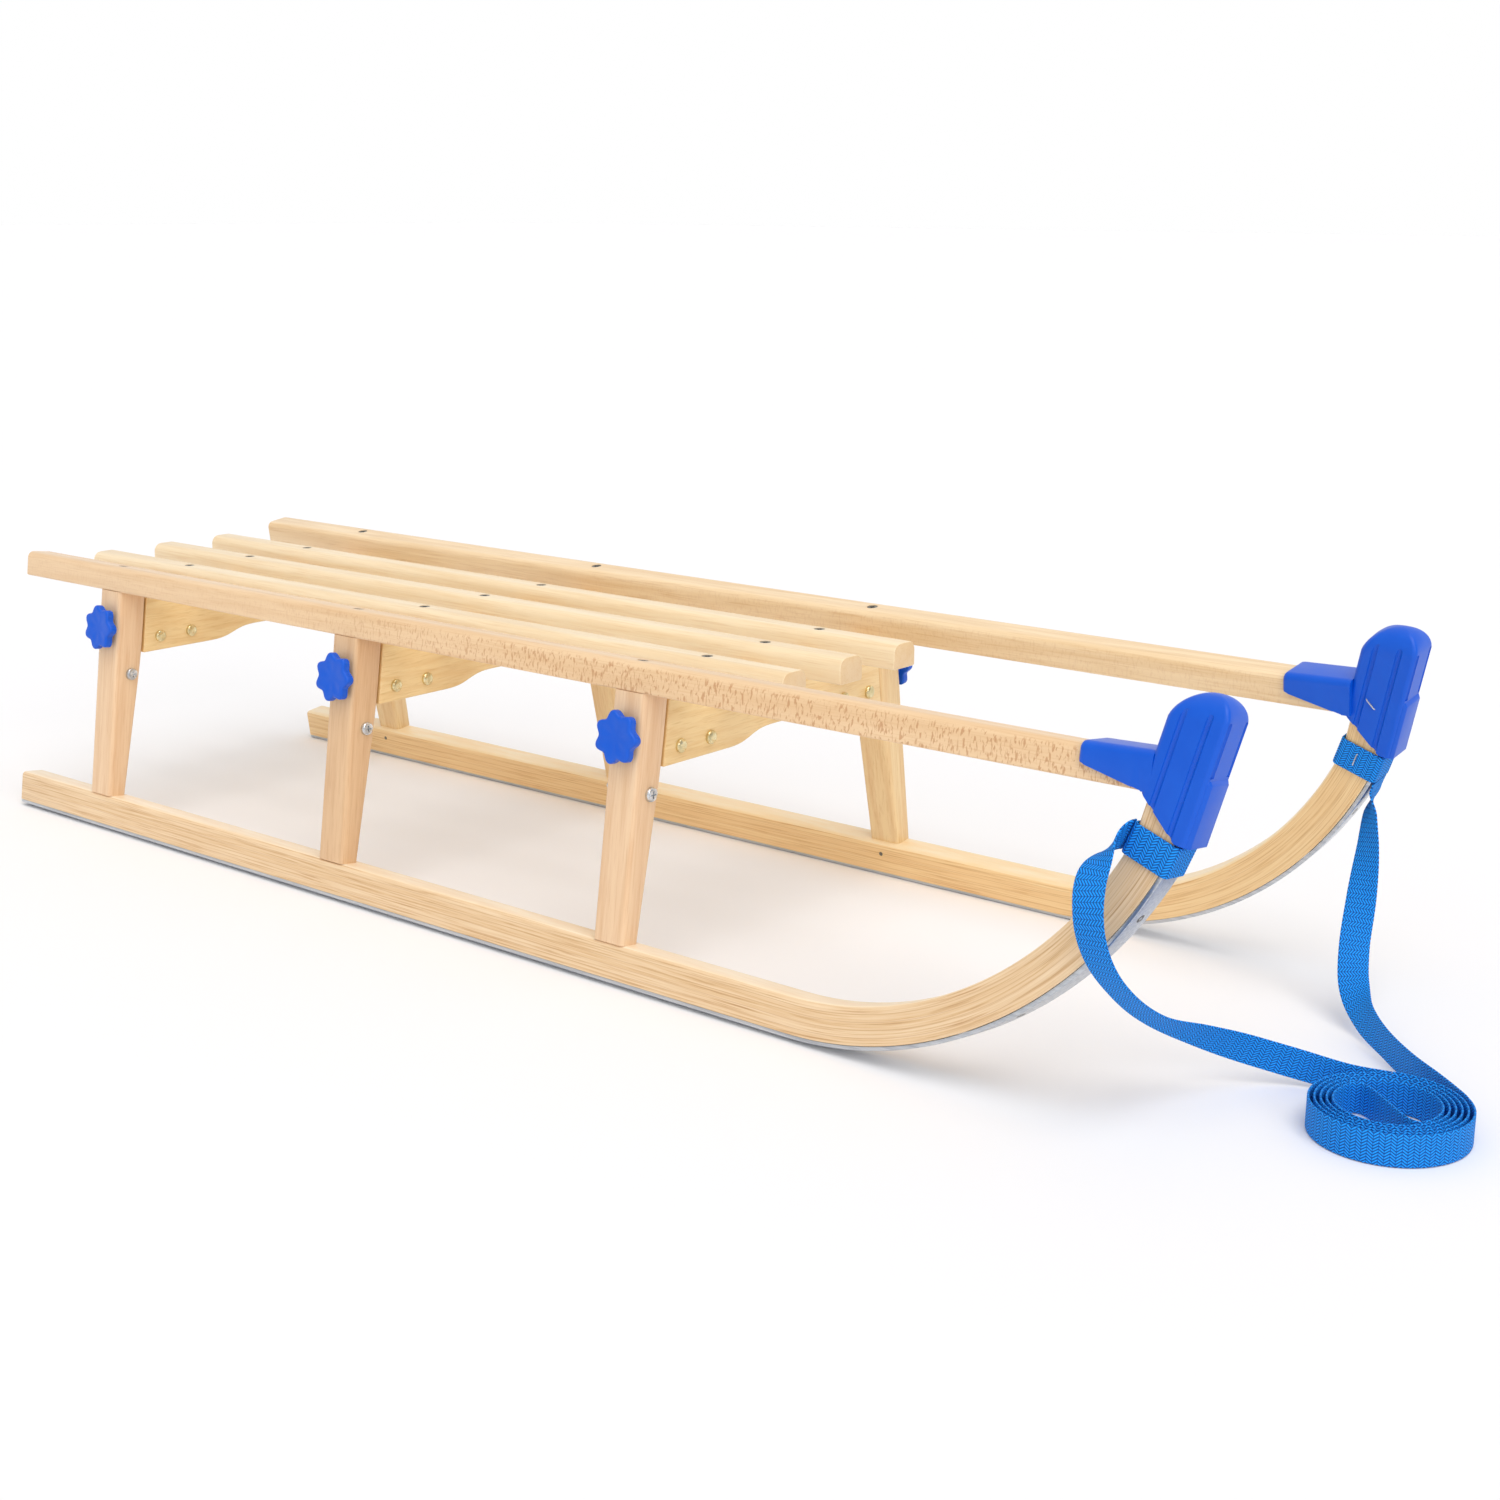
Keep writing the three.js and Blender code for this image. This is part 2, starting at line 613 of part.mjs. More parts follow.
function strapLoopGeometry() {
  const { width, thickness, loopEase, loopCorner } = strap;
  const front = runner.thickness / 2 + woodBase + loopEase;
  const rear = -runner.thickness / 2 - loopEase;
  const ring = roundedRectangle(
    rear - thickness, front + thickness, -runner.width - loopEase - thickness, loopEase + thickness,
    loopCorner, loopCorner,
  );
  const inner = roundedRectangle(
    rear, front, -runner.width - loopEase, loopEase, loopCorner - thickness, loopCorner - thickness,
  );
  ring.holes.push(new THREE.Path(inner.getPoints(3).reverse()));
  return cutAway(onLoop(extruded(ring, width, 0, 3).translate(0, 0, -width / 2)), [onLoop(loopStaple(gap))]);
}

// Knobs, drawn about the Z axis, with the leg's outer face at z = 0

function knobHeadGeometry() {
  const { lobes, radius, lobeHeight, edgeRadius, headHeight, skirtHeight, skirtRadius } = knob;
  const seat = 2 * gap + stud.washerThickness;
  const low = seat + skirtHeight;
  const high = low + headHeight;
  const pointsPerLobe = 4;
  const lobedRing = (inset, height) => Array.from({ length: lobes * pointsPerLobe }, (_, k) => {
    const angle = (k / (lobes * pointsPerLobe)) * Math.PI * 2;
    const reach = radius - lobeHeight + lobeHeight * Math.cos(lobes * angle) - inset;
    return new THREE.Vector3(reach * Math.cos(angle), reach * Math.sin(angle), height);
  });
  const head = loft([
    lobedRing(edgeRadius / 2, low), lobedRing(0, low + edgeRadius / 2),
    lobedRing(0, high - edgeRadius), lobedRing(edgeRadius * knobCrestShare, high - edgeRadius * knobCrestShare),
    lobedRing(edgeRadius, high),
  ]);
  const skirt = rod(skirtRadius, seat, low + edgeRadius, 14);
  const dish = rod(knob.dishRadius, high - knob.dishDepth, high + overrun, 14);
  const bore = rod(stud.radius + gap, 0, seat + knob.boreDepth, 8);
  return cutAway(joined([head, skirt]), [dish, bore]);
}

function knobScrewGeometry() {
  const { radius, washerRadius, washerThickness, engagement } = stud;
  const end = -leg.width - boardEndGap - engagement;
  const top = 2 * gap + washerThickness + knob.boreDepth - gap;
  return turned([
    [0, end], [radius, end], [radius, gap], [washerRadius, gap],
    [washerRadius, gap + washerThickness], [radius, gap + washerThickness], [radius, top], [0, top],
  ], 8);
}

// Seat pieces, drawn in the upright frame

function frameMatrix(side) {
  const turn = new THREE.Matrix4().makeRotationX(side * frameLean);
  return turn.setPosition(0, side * frameHalfSpan, lift);
}

function framePoint(w, h) {
  return new THREE.Vector3(0, w, h).applyMatrix4(frameMatrix(1));
}

// The y of the plane at place w of the left frame, where it crosses height z
function frameY(w, z) {
  const h = (z - lift - w * Math.sin(frameLean)) / Math.cos(frameLean);
  return framePoint(w, h).y;
}

const onBothSides = (geometry) => [geometry, mirrored(geometry)];

// The threaded hole is oval, so that the stud's tip can swing out of it as the side frame folds
function ovalHole(ease, low, high) {
  const radius = stud.radius + ease;
  const shape = strip([0, 0], [0, insertNut.swing], radius);
  return extruded(shape, high - low, 0, 3).translate(0, 0, low);
}

// In the plane of the side frame, the axis of the stud runs along y and the swing runs along h
function onStudAxis(geometry) {
  return geometry.rotateX(Math.PI / 2).translate(-leg.depth / 2, 0, knobHeight)
    .applyMatrix4(frameMatrix(1));
}

const insertDepth = leg.width + boardEndGap + gap;

function insertNutGeometry() {
  const body = rod(insertNut.radius, insertDepth, insertDepth + insertNut.length, 10)
    .translate(0, insertNut.rise, 0);
  return onStudAxis(cutAway(body, [ovalHole(gap, insertDepth - overrun, insertDepth + insertNut.length + overrun)]));
}

function insertPocket() {
  return onStudAxis(rod(insertNut.radius + gap, insertDepth - overrun, insertDepth + insertNut.length + gap, 10)
    .translate(0, insertNut.rise, 0));
}

function boltHole(radius, y, z) {
  return facingX(rod(radius + gap, bracketRear - overrun, overrun, 8)).translate(0, y, z);
}

const seatScrewPlaces = [-innerSlatPitch, 0, innerSlatPitch];
const endW = -leg.width - boardEndGap;
const outerBoltY = frameY(endW, boardBoltHeight) - boardBolt.endDistance;
const boltYs = [outerBoltY - boardBolt.pitch, outerBoltY];

function seatScrewHole(x, y) {
  return countersunkHole(seatScrew).translate(x, y, seatHeight);
}

function boardGeometry() {
  const { endDepth, middleDepth, shoulderY, crownY, edgeRadius } = board;
  const low = boardTop - endDepth;
  const crown = boardTop - middleDepth;
  const [topY, lowY] = [frameY(endW, boardTop), frameY(endW, low)];
  const ease = (shoulderY - crownY) / 2;
  const outline = new THREE.Shape();
  outline.moveTo(-topY, boardTop);
  outline.lineTo(-lowY, low);
  outline.lineTo(-shoulderY, low);
  outline.bezierCurveTo(-shoulderY + ease, low, -crownY - ease, crown, -crownY, crown);
  outline.lineTo(crownY, crown);
  outline.bezierCurveTo(crownY + ease, crown, shoulderY - ease, low, shoulderY, low);
  outline.lineTo(lowY, low);
  outline.lineTo(topY, boardTop);
  outline.closePath();
  return cutAway(alongX(outline, -leg.depth, leg.depth, edgeRadius, 5, 1), [
    ...onBothSides(insertPocket()),
    ...boltYs.flatMap((y) => onBothSides(boltHole(boardBolt.shaftRadius, y, boardBoltHeight))),
    ...seatScrewPlaces.map((y) => seatScrewHole(-leg.depth / 2, y)),
  ]);
}

function innerSlatGeometry(y) {
  const { width, thickness, edgeRadius, frontOverhang } = innerSlat;
  const section = roundedRectangle(
    y - width / 2, y + width / 2, seatHeight - thickness, seatHeight, edgeRadius, edgeRadius * lowerEdgeShare,
  );
  const front = legSpacingRear + legSpacingFront + frontOverhang;
  const holes = legCentres.map((x) => seatScrewHole(x, y));
  return cutAway(alongX(section, seatBack, front - seatBack, 0, 4), holes);
}

const pivotPlace = framePoint(-pivotBolt.inset, pivotHeight);

// A flat bracket behind the board and the leg, joined with the two bolts that hold it to the board
function bracketGeometry() {
  const boltPlaces = boltYs.map((y) => [y, boardBoltHeight]);
  const corners = [...boltPlaces, [pivotPlace.y, pivotPlace.z]];
  const plates = [[0, 1], [1, 2]].map(([from, to]) => {
    return alongX(strip(corners[from], corners[to], bracket.width / 2), bracketRear, bracket.thickness, 0, 3);
  });
  const pivot = boltHole(pivotBolt.shaftRadius, pivotPlace.y, pivotPlace.z);
  const bolts = boltPlaces.map(([y, z]) => boltWithNut(boardBolt, y, z));
  return joined([cutAway(joined(plates), [pivot]), ...bolts]);
}

function pivotBoltGeometry() {
  return boltWithNut(pivotBolt, pivotPlace.y, pivotPlace.z);
}

// Pull strap: a flat tape along a line of points, with a direction across its width at each point

function tape(points, widths) {
  const { width, thickness } = strap;
  const rings = points.map((point, k) => {
    const along = points[Math.min(k + 1, points.length - 1)].clone().sub(points[Math.max(k - 1, 0)]).normalize();
    const across = widths[k].clone().addScaledVector(along, -along.dot(widths[k])).normalize();
    const normal = new THREE.Vector3().crossVectors(along, across);
    return [[-1, -1], [1, -1], [1, 1], [-1, 1]].map(([a, b]) => {
      return point.clone().addScaledVector(across, (a * width) / 2).addScaledVector(normal, (b * thickness) / 2);
    });
  });
  return loft(rings);
}

function smoothTape(route, steps) {
  const centre = new THREE.CatmullRomCurve3(route.map(([x, y, z]) => new THREE.Vector3(x, y, z)));
  const facing = new THREE.CatmullRomCurve3(route.map(([, , , x, y, z]) => new THREE.Vector3(x, y, z)));
  const fractions = Array.from({ length: steps + 1 }, (_, k) => k / steps);
  return tape(fractions.map((t) => centre.getPoint(t)), fractions.map((t) => facing.getPoint(t)));
}

// Each row is a place on the strap's middle line, then the direction across its width
const nearRoute = [
  [961.2, -146.5, 177.1, 0.36, 0.13, 0.92],
  [961.0, -153.5, 177.4, 0.38, 0.10, 0.92],
  [957.0, -167.0, 169.0, 0.70, 0.20, 0.65],
  [956.0, -178.0, 158.0, 0.95, 0.15, 0.25],
  [958.9, -186.0, 143.9, 1.00, 0.00, 0.00],
  [961.1, -186.0, 126.7, 1.00, 0.00, 0.00],
  [962.8, -176.0, 106.4, 1.00, 0.00, 0.00],
  [964.9, -155.0, 84.0, 1.00, 0.00, 0.05],
  [968.5, -120.0, 58.5, 0.90, 0.05, 0.25],
  [979.5, -80.0, 38.8, 0.60, 0.00, 0.70],
  [997.5, -48.0, 23.8, 0.20, 0.00, 0.95],
  [1025.0, -27.0, 13.6, 0.02, 0.00, 1.00],
  [1052.0, -22.0, 10.7, 0.00, 0.00, 1.00],
];
const farRoute = [
  [987.9, 142.6, 154.7, 0.00, 0.99, 0.14],
  [984.9, 143.8, 146.2, -0.03, 0.98, 0.14],
  [983.8, 141.5, 130.0, -0.72, 0.70, 0.05],
  [986.2, 136.0, 106.5, -0.92, 0.38, 0.00],
  [989.0, 125.0, 74.5, -0.96, -0.20, -0.05],
  [993.1, 110.0, 46.0, -0.82, -0.55, -0.10],
  [1001.8, 93.0, 27.4, -0.75, -0.50, -0.35],
  [1018.4, 72.0, 16.0, -0.40, -0.20, -0.90],
  [1045.2, 45.0, 11.4, -0.05, 0.00, -1.00],
  [1073.9, 18.0, 10.6, 0.00, 0.00, -1.00],
  [1100.3, -2.5, 10.4, 0.00, 0.00, -1.00],
];

const coilMiddle = coil.floorGap + strap.width / 2;

function coilPoint(radius, angle) {
  return new THREE.Vector3(coil.x + radius * Math.cos(angle), coil.y + radius * Math.sin(angle), coilMiddle);
}

// One arm of the coil from its inner end outwards, turning anticlockwise as it grows
function coilArm(innerAngle, turns) {
  const steps = Math.round(turns * coilStepsPerTurn);
  return Array.from({ length: steps + 1 }, (_, k) => {
    const turn = (k / steps) * turns;
    return coilPoint(coil.innerRadius + coil.pitch * turn, innerAngle + turn * Math.PI * 2);
  });
}

// The strap crosses the coil's middle in an S, which is the same seen from either end
function coilBridge(innerAngle) {
  const reach = coil.innerRadius * coilBridgeReachShare;
  const middle = coilPoint(0, 0);
  const start = coilPoint(coil.innerRadius, innerAngle);
  const inwards = new THREE.Vector3(Math.sin(innerAngle), -Math.cos(innerAngle), 0);
  const crossing = new THREE.Vector3(-Math.cos(innerAngle), -Math.sin(innerAngle), 0);
  crossing.applyAxisAngle(new THREE.Vector3(0, 0, 1), coilBridgeTilt);
  const curve = new THREE.CubicBezierCurve3(
    start, start.clone().addScaledVector(inwards, reach),
    middle.clone().addScaledVector(crossing, -reach / 2), middle,
  );
  const half = curve.getPoints(coilBridgeSteps).slice(1);
  const otherHalf = half.slice(0, -1).map((p) => new THREE.Vector3(2 * middle.x - p.x, 2 * middle.y - p.y, p.z));
  return [...half, ...otherHalf.reverse()];
}

const farInnerAngle = coilFarStart - coil.farTurns * Math.PI * 2;
const nearInnerAngle = farInnerAngle - Math.PI;
const coilLine = [
  ...coilArm(nearInnerAngle, coil.nearTurns).reverse(),
  ...coilBridge(nearInnerAngle),
  ...coilArm(farInnerAngle, coil.farTurns),
];

// The least gap between two stretches of the coil that are more than half a loop apart along the strap
function leastCoilGap() {
  const apart = coilStepsPerTurn / 2;
  let least = Infinity;
  coilLine.forEach((point, k) => {
    for (const other of coilLine.slice(k + apart)) least = Math.min(least, point.distanceTo(other));
  });
  return least - strap.thickness;
}

const uprightWidths = coilLine.map(() => new THREE.Vector3(0, 0, 1));

// A stretch ends a gap short of the coil's end, in line with it
function stretchTo(route, coilEnd, coilNext, steps) {
  const along = coilNext.clone().sub(coilEnd).normalize();
  const last = coilEnd.clone().addScaledVector(along, -gap);
  const before = last.clone().addScaledVector(along, -strap.width / 4);
  const ends = [before, last].map((p) => [p.x, p.y, p.z, 0, 0, Math.sign(route.at(-1).at(-1))]);
  return smoothTape([...route, ...ends], steps);
}

// Materials

const finishes = {
  beech: new THREE.MeshStandardMaterial({ color: '#e8c89c', roughness: 0.45 }),
  runnerBeech: new THREE.MeshStandardMaterial({ color: '#dcae78', roughness: 0.45 }),
  steel: new THREE.MeshStandardMaterial({ color: '#b9bdc2', roughness: 0.35, metalness: 1 }),
  zinc: new THREE.MeshStandardMaterial({ color: '#cfc9a8', roughness: 0.3, metalness: 1 }),
  plastic: new THREE.MeshStandardMaterial({ color: '#1450d8', roughness: 0.35 }),
  webbing: new THREE.MeshStandardMaterial({ color: '#0a6ae0', roughness: 0.8 }),
};

function piece(name, geometry, finish) {
  const mesh = new THREE.Mesh(geometry, finishes[finish].clone());
  mesh.name = name;
  return mesh;
}

// Assembly

function makeSeat() {
  const seat = new THREE.Group();
  const slatNames = ['slat_inner_right', 'slat_centre', 'slat_inner_left'];
  slatNames.forEach((name, k) => seat.add(piece(name, innerSlatGeometry(seatScrewPlaces[k]), 'beech')));
  const fittings = [
    ['bracket', bracketGeometry(), 'zinc'],
    ['pivot_bolt', pivotBoltGeometry(), 'steel'],
    ['insert_nut', insertNutGeometry(), 'zinc'],
  ];
  places.forEach((place, k) => {
    const crossing = new THREE.Group();
    crossing.position.x = legCentres[k] + leg.depth / 2;
    crossing.add(piece(`${place}_board`, boardGeometry(), 'beech'));
    for (const [part, geometry, finish] of fittings) {
      crossing.add(piece(`${part}_${place}_left`, geometry, finish));
      crossing.add(piece(`${part}_${place}_right`, mirrored(geometry), finish));
    }
    seat.add(crossing);
  });
  return seat;
}

function makeKnobs(name, side) {
  const knobs = new THREE.Group();
  places.forEach((place, k) => {
    const turning = new THREE.Group();
    turning.position.set(legCentres[k], 0, knobHeight);
    turning.rotation.x = (-side * Math.PI) / 2;
    turning.add(piece(`knob_${place}_${name}`, knobHeadGeometry(), 'plastic'));
    turning.add(piece(`knob_screw_${place}_${name}`, knobScrewGeometry(), 'steel'));
    knobs.add(turning);
  });
  return knobs;
}

function makeSideFrame(name, side) {
  const frame = new THREE.Group();
  frame.rotation.x = side * frameLean;
  frame.position.set(0, side * frameHalfSpan, lift);
  const add = (part, geometry, finish) => {
    frame.add(piece(`${part}_${name}`, side > 0 ? geometry : mirrored(geometry), finish));
  };
  add('runner', runnerGeometry(), 'runnerBeech');
  add('shoe', shoeGeometry(), 'steel');
  places.forEach((place, k) => add(`leg_${place}`, legGeometry(legCentres[k]), 'beech'));
  add('outer_slat', outerSlatGeometry(), 'beech');
  add('cap', capGeometry(), 'plastic');
  add('strap_loop', strapLoopGeometry(), 'webbing');
  add('staple_loop', onLoop(loopStaple()), 'steel');
  add('staple_cap', capStaple(), 'steel');
  frame.add(makeKnobs(name, side));
  return frame;
}

function makeStrap() {
  const pull = new THREE.Group();
  pull.add(piece('strap_near', stretchTo(nearRoute, coilLine[0], coilLine[1], 48), 'webbing'));
  pull.add(piece('strap_far', stretchTo(farRoute, coilLine.at(-1), coilLine.at(-2), 44), 'webbing'));
  pull.add(piece('strap_coil', tape(coilLine, uprightWidths), 'webbing'));
  return pull;
}

const sledge = new THREE.Group();
sledge.add(makeSeat(), makeSideFrame('right', -1), makeSideFrame('left', 1));
sledge.updateMatrixWorld(true);
const extent = new THREE.Box3().setFromObject(sledge, true);
const middleX = (extent.min.x + extent.max.x) / 2;
sledge.add(makeStrap());
sledge.position.x = -middleX;

console.log(`least gap of the coil to itself: ${leastCoilGap().toFixed(2)} mm`);
console.log(`front face of the rear legs at x = ${(-middleX).toFixed(3)} mm`);

export default sledge;
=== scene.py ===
"""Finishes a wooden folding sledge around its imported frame.

Sizes are in millimetres until a mesh is made. Along the sledge, x is measured from the front
face of the rear legs, and a side frame is drawn flat in its own leaning plane: x forwards,
w outwards from its outer face and h upwards.
"""

from __future__ import annotations

import logging
import math
from collections.abc import Iterable
from dataclasses import dataclass, field
from enum import Enum

import bmesh
import bpy
from mathutils import Matrix, Vector


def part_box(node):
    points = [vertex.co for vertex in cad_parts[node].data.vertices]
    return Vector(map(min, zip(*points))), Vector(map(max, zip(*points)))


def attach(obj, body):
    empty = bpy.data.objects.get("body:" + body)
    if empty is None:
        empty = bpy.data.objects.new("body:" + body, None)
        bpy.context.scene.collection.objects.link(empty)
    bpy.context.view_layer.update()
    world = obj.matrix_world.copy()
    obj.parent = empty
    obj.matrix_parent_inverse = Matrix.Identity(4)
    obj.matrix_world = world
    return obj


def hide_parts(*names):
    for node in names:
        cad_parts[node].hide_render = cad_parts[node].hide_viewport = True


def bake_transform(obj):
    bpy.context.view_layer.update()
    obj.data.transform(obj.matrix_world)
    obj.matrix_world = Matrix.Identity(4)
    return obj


LOG = logging.getLogger("sledge")
MM = 0.001

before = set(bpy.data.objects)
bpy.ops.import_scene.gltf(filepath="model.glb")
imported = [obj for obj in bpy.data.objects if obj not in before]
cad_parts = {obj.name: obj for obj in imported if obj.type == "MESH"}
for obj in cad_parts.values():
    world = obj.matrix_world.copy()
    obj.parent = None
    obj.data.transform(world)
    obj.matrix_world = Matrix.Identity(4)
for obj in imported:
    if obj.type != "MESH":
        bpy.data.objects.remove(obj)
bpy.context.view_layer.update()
# The front face of the rear legs, from which x is measured
ORIGIN_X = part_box("leg_rear_right")[1].x


class Place(Enum):
    """A place on the sledge that stands in the names of pieces."""

    @property
    def word(self) -> str:
        """The place's word in those names."""
        return self.name.lower()


class Side(Place):
    """A side of the sledge, and the sign of its y."""

    RIGHT = -1
    LEFT = 1

    @property
    def body(self) -> str:
        """The body that the side frame rides on."""
        return f"side_frame_{self.word}"


class Crossing(Place):
    """A place where a board joins two legs, and the x of the legs' front faces."""

    REAR = 0.0
    MIDDLE = 300.0
    FRONT = 591.0

    @property
    def centre(self) -> float:
        """The x of the legs' middle."""
        return self.value - LEG.depth / 2


class Grain(Enum):
    """The axis that the wood's fibres follow."""

    LENGTHWISE = 0
    CROSSWISE = 1
    UPRIGHT = 2


class Carving(Enum):
    """What a second solid does to the first."""

    JOIN = "UNION"
    CUT = "DIFFERENCE"
    CROSS = "INTERSECT"


# Sizes that several pieces share


@dataclass(frozen=True)
class LegSizes:
    """The legs' sizes."""

    depth: float = 28.0
    width: float = 26.0
    foot_width: float = 16.5
    foot: float = 28.3
    top: float = 202.0
    taper_drop: float = 50.0
    taper_ease: float = 20.0
    corner: float = 3.5
    knob_height: float = 171.0
    pin_height: float = 19.0
    # How far a board's end stays from the leg beside it
    board_gap: float = 0.8


@dataclass(frozen=True)
class SlatSizes:
    """The outer slats' sizes, in their side frame."""

    width: float = 26.0
    base: float = 202.3
    top: float = 223.3
    rear: float = -138.0
    corner: float = 5.5
    end_ease: float = 1.2
    screw_w: float = -12.0


@dataclass(frozen=True)
class RunnerSizes:
    """The sizes of the runners, and of the steel shoes under them."""

    width: float = 22.0
    thickness: float = 25.0
    upper_corner: float = 3.6
    lower_corner: float = 0.4
    end_ease: float = 1.6
    # The left runner's marks start this much further on, so that its streaks are its own
    left_shift: float = 1700.0
    shoe_inset: float = 1.0
    shoe_upper_corner: float = 0.2
    shoe_lower_corner: float = 0.7
    shoe_end_ease: float = 0.4
    shoe_rise: float = 10.0
    # Where the shoe's screws are, as shares of the flat and of the wide bend
    flat_screws: tuple[float, ...] = (0.09, 0.36, 0.74)
    bend_screws: tuple[float, ...] = (0.58, 0.92)


# The play between pieces that are seated on each other
GAP = 0.3
LEG = LegSizes()
SLAT = SlatSizes()
RUNNER = RunnerSizes()


# Meshes


@dataclass
class Shape:
    """Corners, faces and the marks on the faces' corners of one mesh, in millimetres."""

    points: list[Vector] = field(default_factory=list)
    faces: list[tuple[int, ...]] = field(default_factory=list)
    marks: list[tuple[float, float]] = field(default_factory=list)

    def add(self, other: Shape, matrix: Matrix | None = None) -> Shape:
        """Adds a copy of another shape.

        Args:
            other: The shape to copy.
            matrix: Where the copy goes, or None to leave it where it is.

        Returns:
            This shape.
        """
        start = len(self.points)
        self.points += [matrix @ p if matrix else p.copy() for p in other.points]
        self.faces += [tuple(start + k for k in face) for face in other.faces]
        self.marks += other.marks
        return self

    def moved(self, matrix: Matrix) -> Shape:
        """A copy of the shape, moved by a matrix."""
        return Shape().add(self, matrix)


def copies(shape: Shape, places: Iterable[Matrix]) -> Shape:
    """Copies of a shape, as one mesh.

    Args:
        shape: The shape to copy.
        places: Where each copy goes.

    Returns:
        The copies.
    """
    together = Shape()
    for place in places:
        together.add(shape, place)
    return together


def quarter(steps: int) -> list[float]:
    """The angles of a quarter turn, in equal steps."""
    return [math.pi / 2 * k / steps for k in range(steps + 1)]


def quad_marks(ways: tuple[float, float], across: tuple[float, float]) -> list[tuple[float, float]]:
    """The marks of a face between two ways along a bar and two places across it."""
    (start, end), (first, last) = ways, across
    return [(start, first), (start, last), (end, last), (end, first)]


def lofted(rings: list[list[Vector]]) -> Shape:
    """A skin through rings of points, closed by a face at both ends.

    Args:
        rings: The rings, each with the same count of points.

    Returns:
        The skin.
    """
    count = len(rings[0])
    faces = []
    for row in range(len(rings) - 1):
        low, high = row * count, (row + 1) * count
        for k in range(count):
            after = (k + 1) % count
            faces.append((low + k, low + after, high + after, high + k))
    last = (len(rings) - 1) * count
    faces.append(tuple(reversed(range(count))))
    faces.append(tuple(range(last, last + count)))
    return Shape([p for ring in rings for p in ring], faces)


def turned(outline: Iterable[tuple[float, float]], segments: int) -> Shape:
    """A body turned about the Z axis.

    Args:
        outline: Pairs of radius and height, from the low end up.
        segments: The count of flats round the axis.

    Returns:
        The body.
    """
    angles = [k / segments * math.tau for k in range(segments)]
    rings = []
    for radius, height in outline:
        reach = max(radius, 1e-3)
        rings.append([Vector((reach * math.cos(a), reach * math.sin(a), height)) for a in angles])
    return lofted(rings)


def prism(outline: list[tuple[float, float]], low: float, high: float) -> Shape:
    """An outline in the XY plane, drawn out along Z from low to high."""
    return lofted([[Vector((x, y, z)) for x, y in outline] for z in (low, high)])


def cuboid(low: tuple[float, float, float], high: tuple[float, float, float]) -> Shape:
    """A box between two corners, for cutting."""
    (x0, y0, z0), (x1, y1, z1) = low, high
    return prism([(x0, y0), (x1, y0), (x1, y1), (x0, y1)], z0, z1)


def axes(
    x: Iterable[float], y: Iterable[float], z: Iterable[float], place: Iterable[float]
) -> Matrix:
    """The matrix that leads the three axes along the given ones, from a place."""
    return Matrix([[*row, at] for row, at in zip(zip(x, y, z), place)] + [[0, 0, 0, 1]])


# An outline in (y, z), drawn out forwards
FORWARDS = axes((0, 1, 0), (0, 0, 1), (1, 0, 0), (0, 0, 0))


@dataclass(frozen=True)
class Outline:
    """The outline of a bar: a rectangle with rounded upper and lower corners."""

    left: float
    right: float
    low: float
    high: float
    upper: float
    lower: float

    def points(self, inset: float = 0.0, steps: int = 5) -> list[tuple[float, float]]:
        """The outline's points, anticlockwise.

        Args:
            inset: How far the outline is drawn in.
            steps: The count of steps in each corner.

        Returns:
            The points.
        """
        left, right = self.left + inset, self.right - inset
        low, high = self.low + inset, self.high - inset
        corners = (
            (right, low, -1, 1, self.lower, -math.pi / 2), (right, high, -1, -1, self.upper, 0.0),
            (left, high, 1, -1, self.upper, math.pi / 2), (left, low, 1, 1, self.lower, math.pi),
        )
        places = []
        for x, y, inwards, upwards, radius, start in corners:
            bend = max(radius - inset, 0.05)
            centre = (x + inwards * bend, y + upwards * bend)
            for turn in quarter(steps):
                angle = start + turn
                places.append((centre[0] + bend * math.cos(angle), centre[1] + bend * math.sin(angle)))
        return places


@dataclass(frozen=True)
class Station:
    """A place on the line that a bar follows, the line's slope and the way to it."""

    x: float
    h: float
    slope: float
    way: float

    def onwards(self, step: float) -> Station:
        """The station a step further along the slope."""
        x, h = self.x + step * math.cos(self.slope), self.h + step * math.sin(self.slope)
        return Station(x, h, self.slope, self.way + step)

    def point(self, w: float, offset: float) -> Vector:
        """The place at an offset from the line."""
        return Vector((self.x - offset * math.sin(self.slope), w, self.h + offset * math.cos(self.slope)))


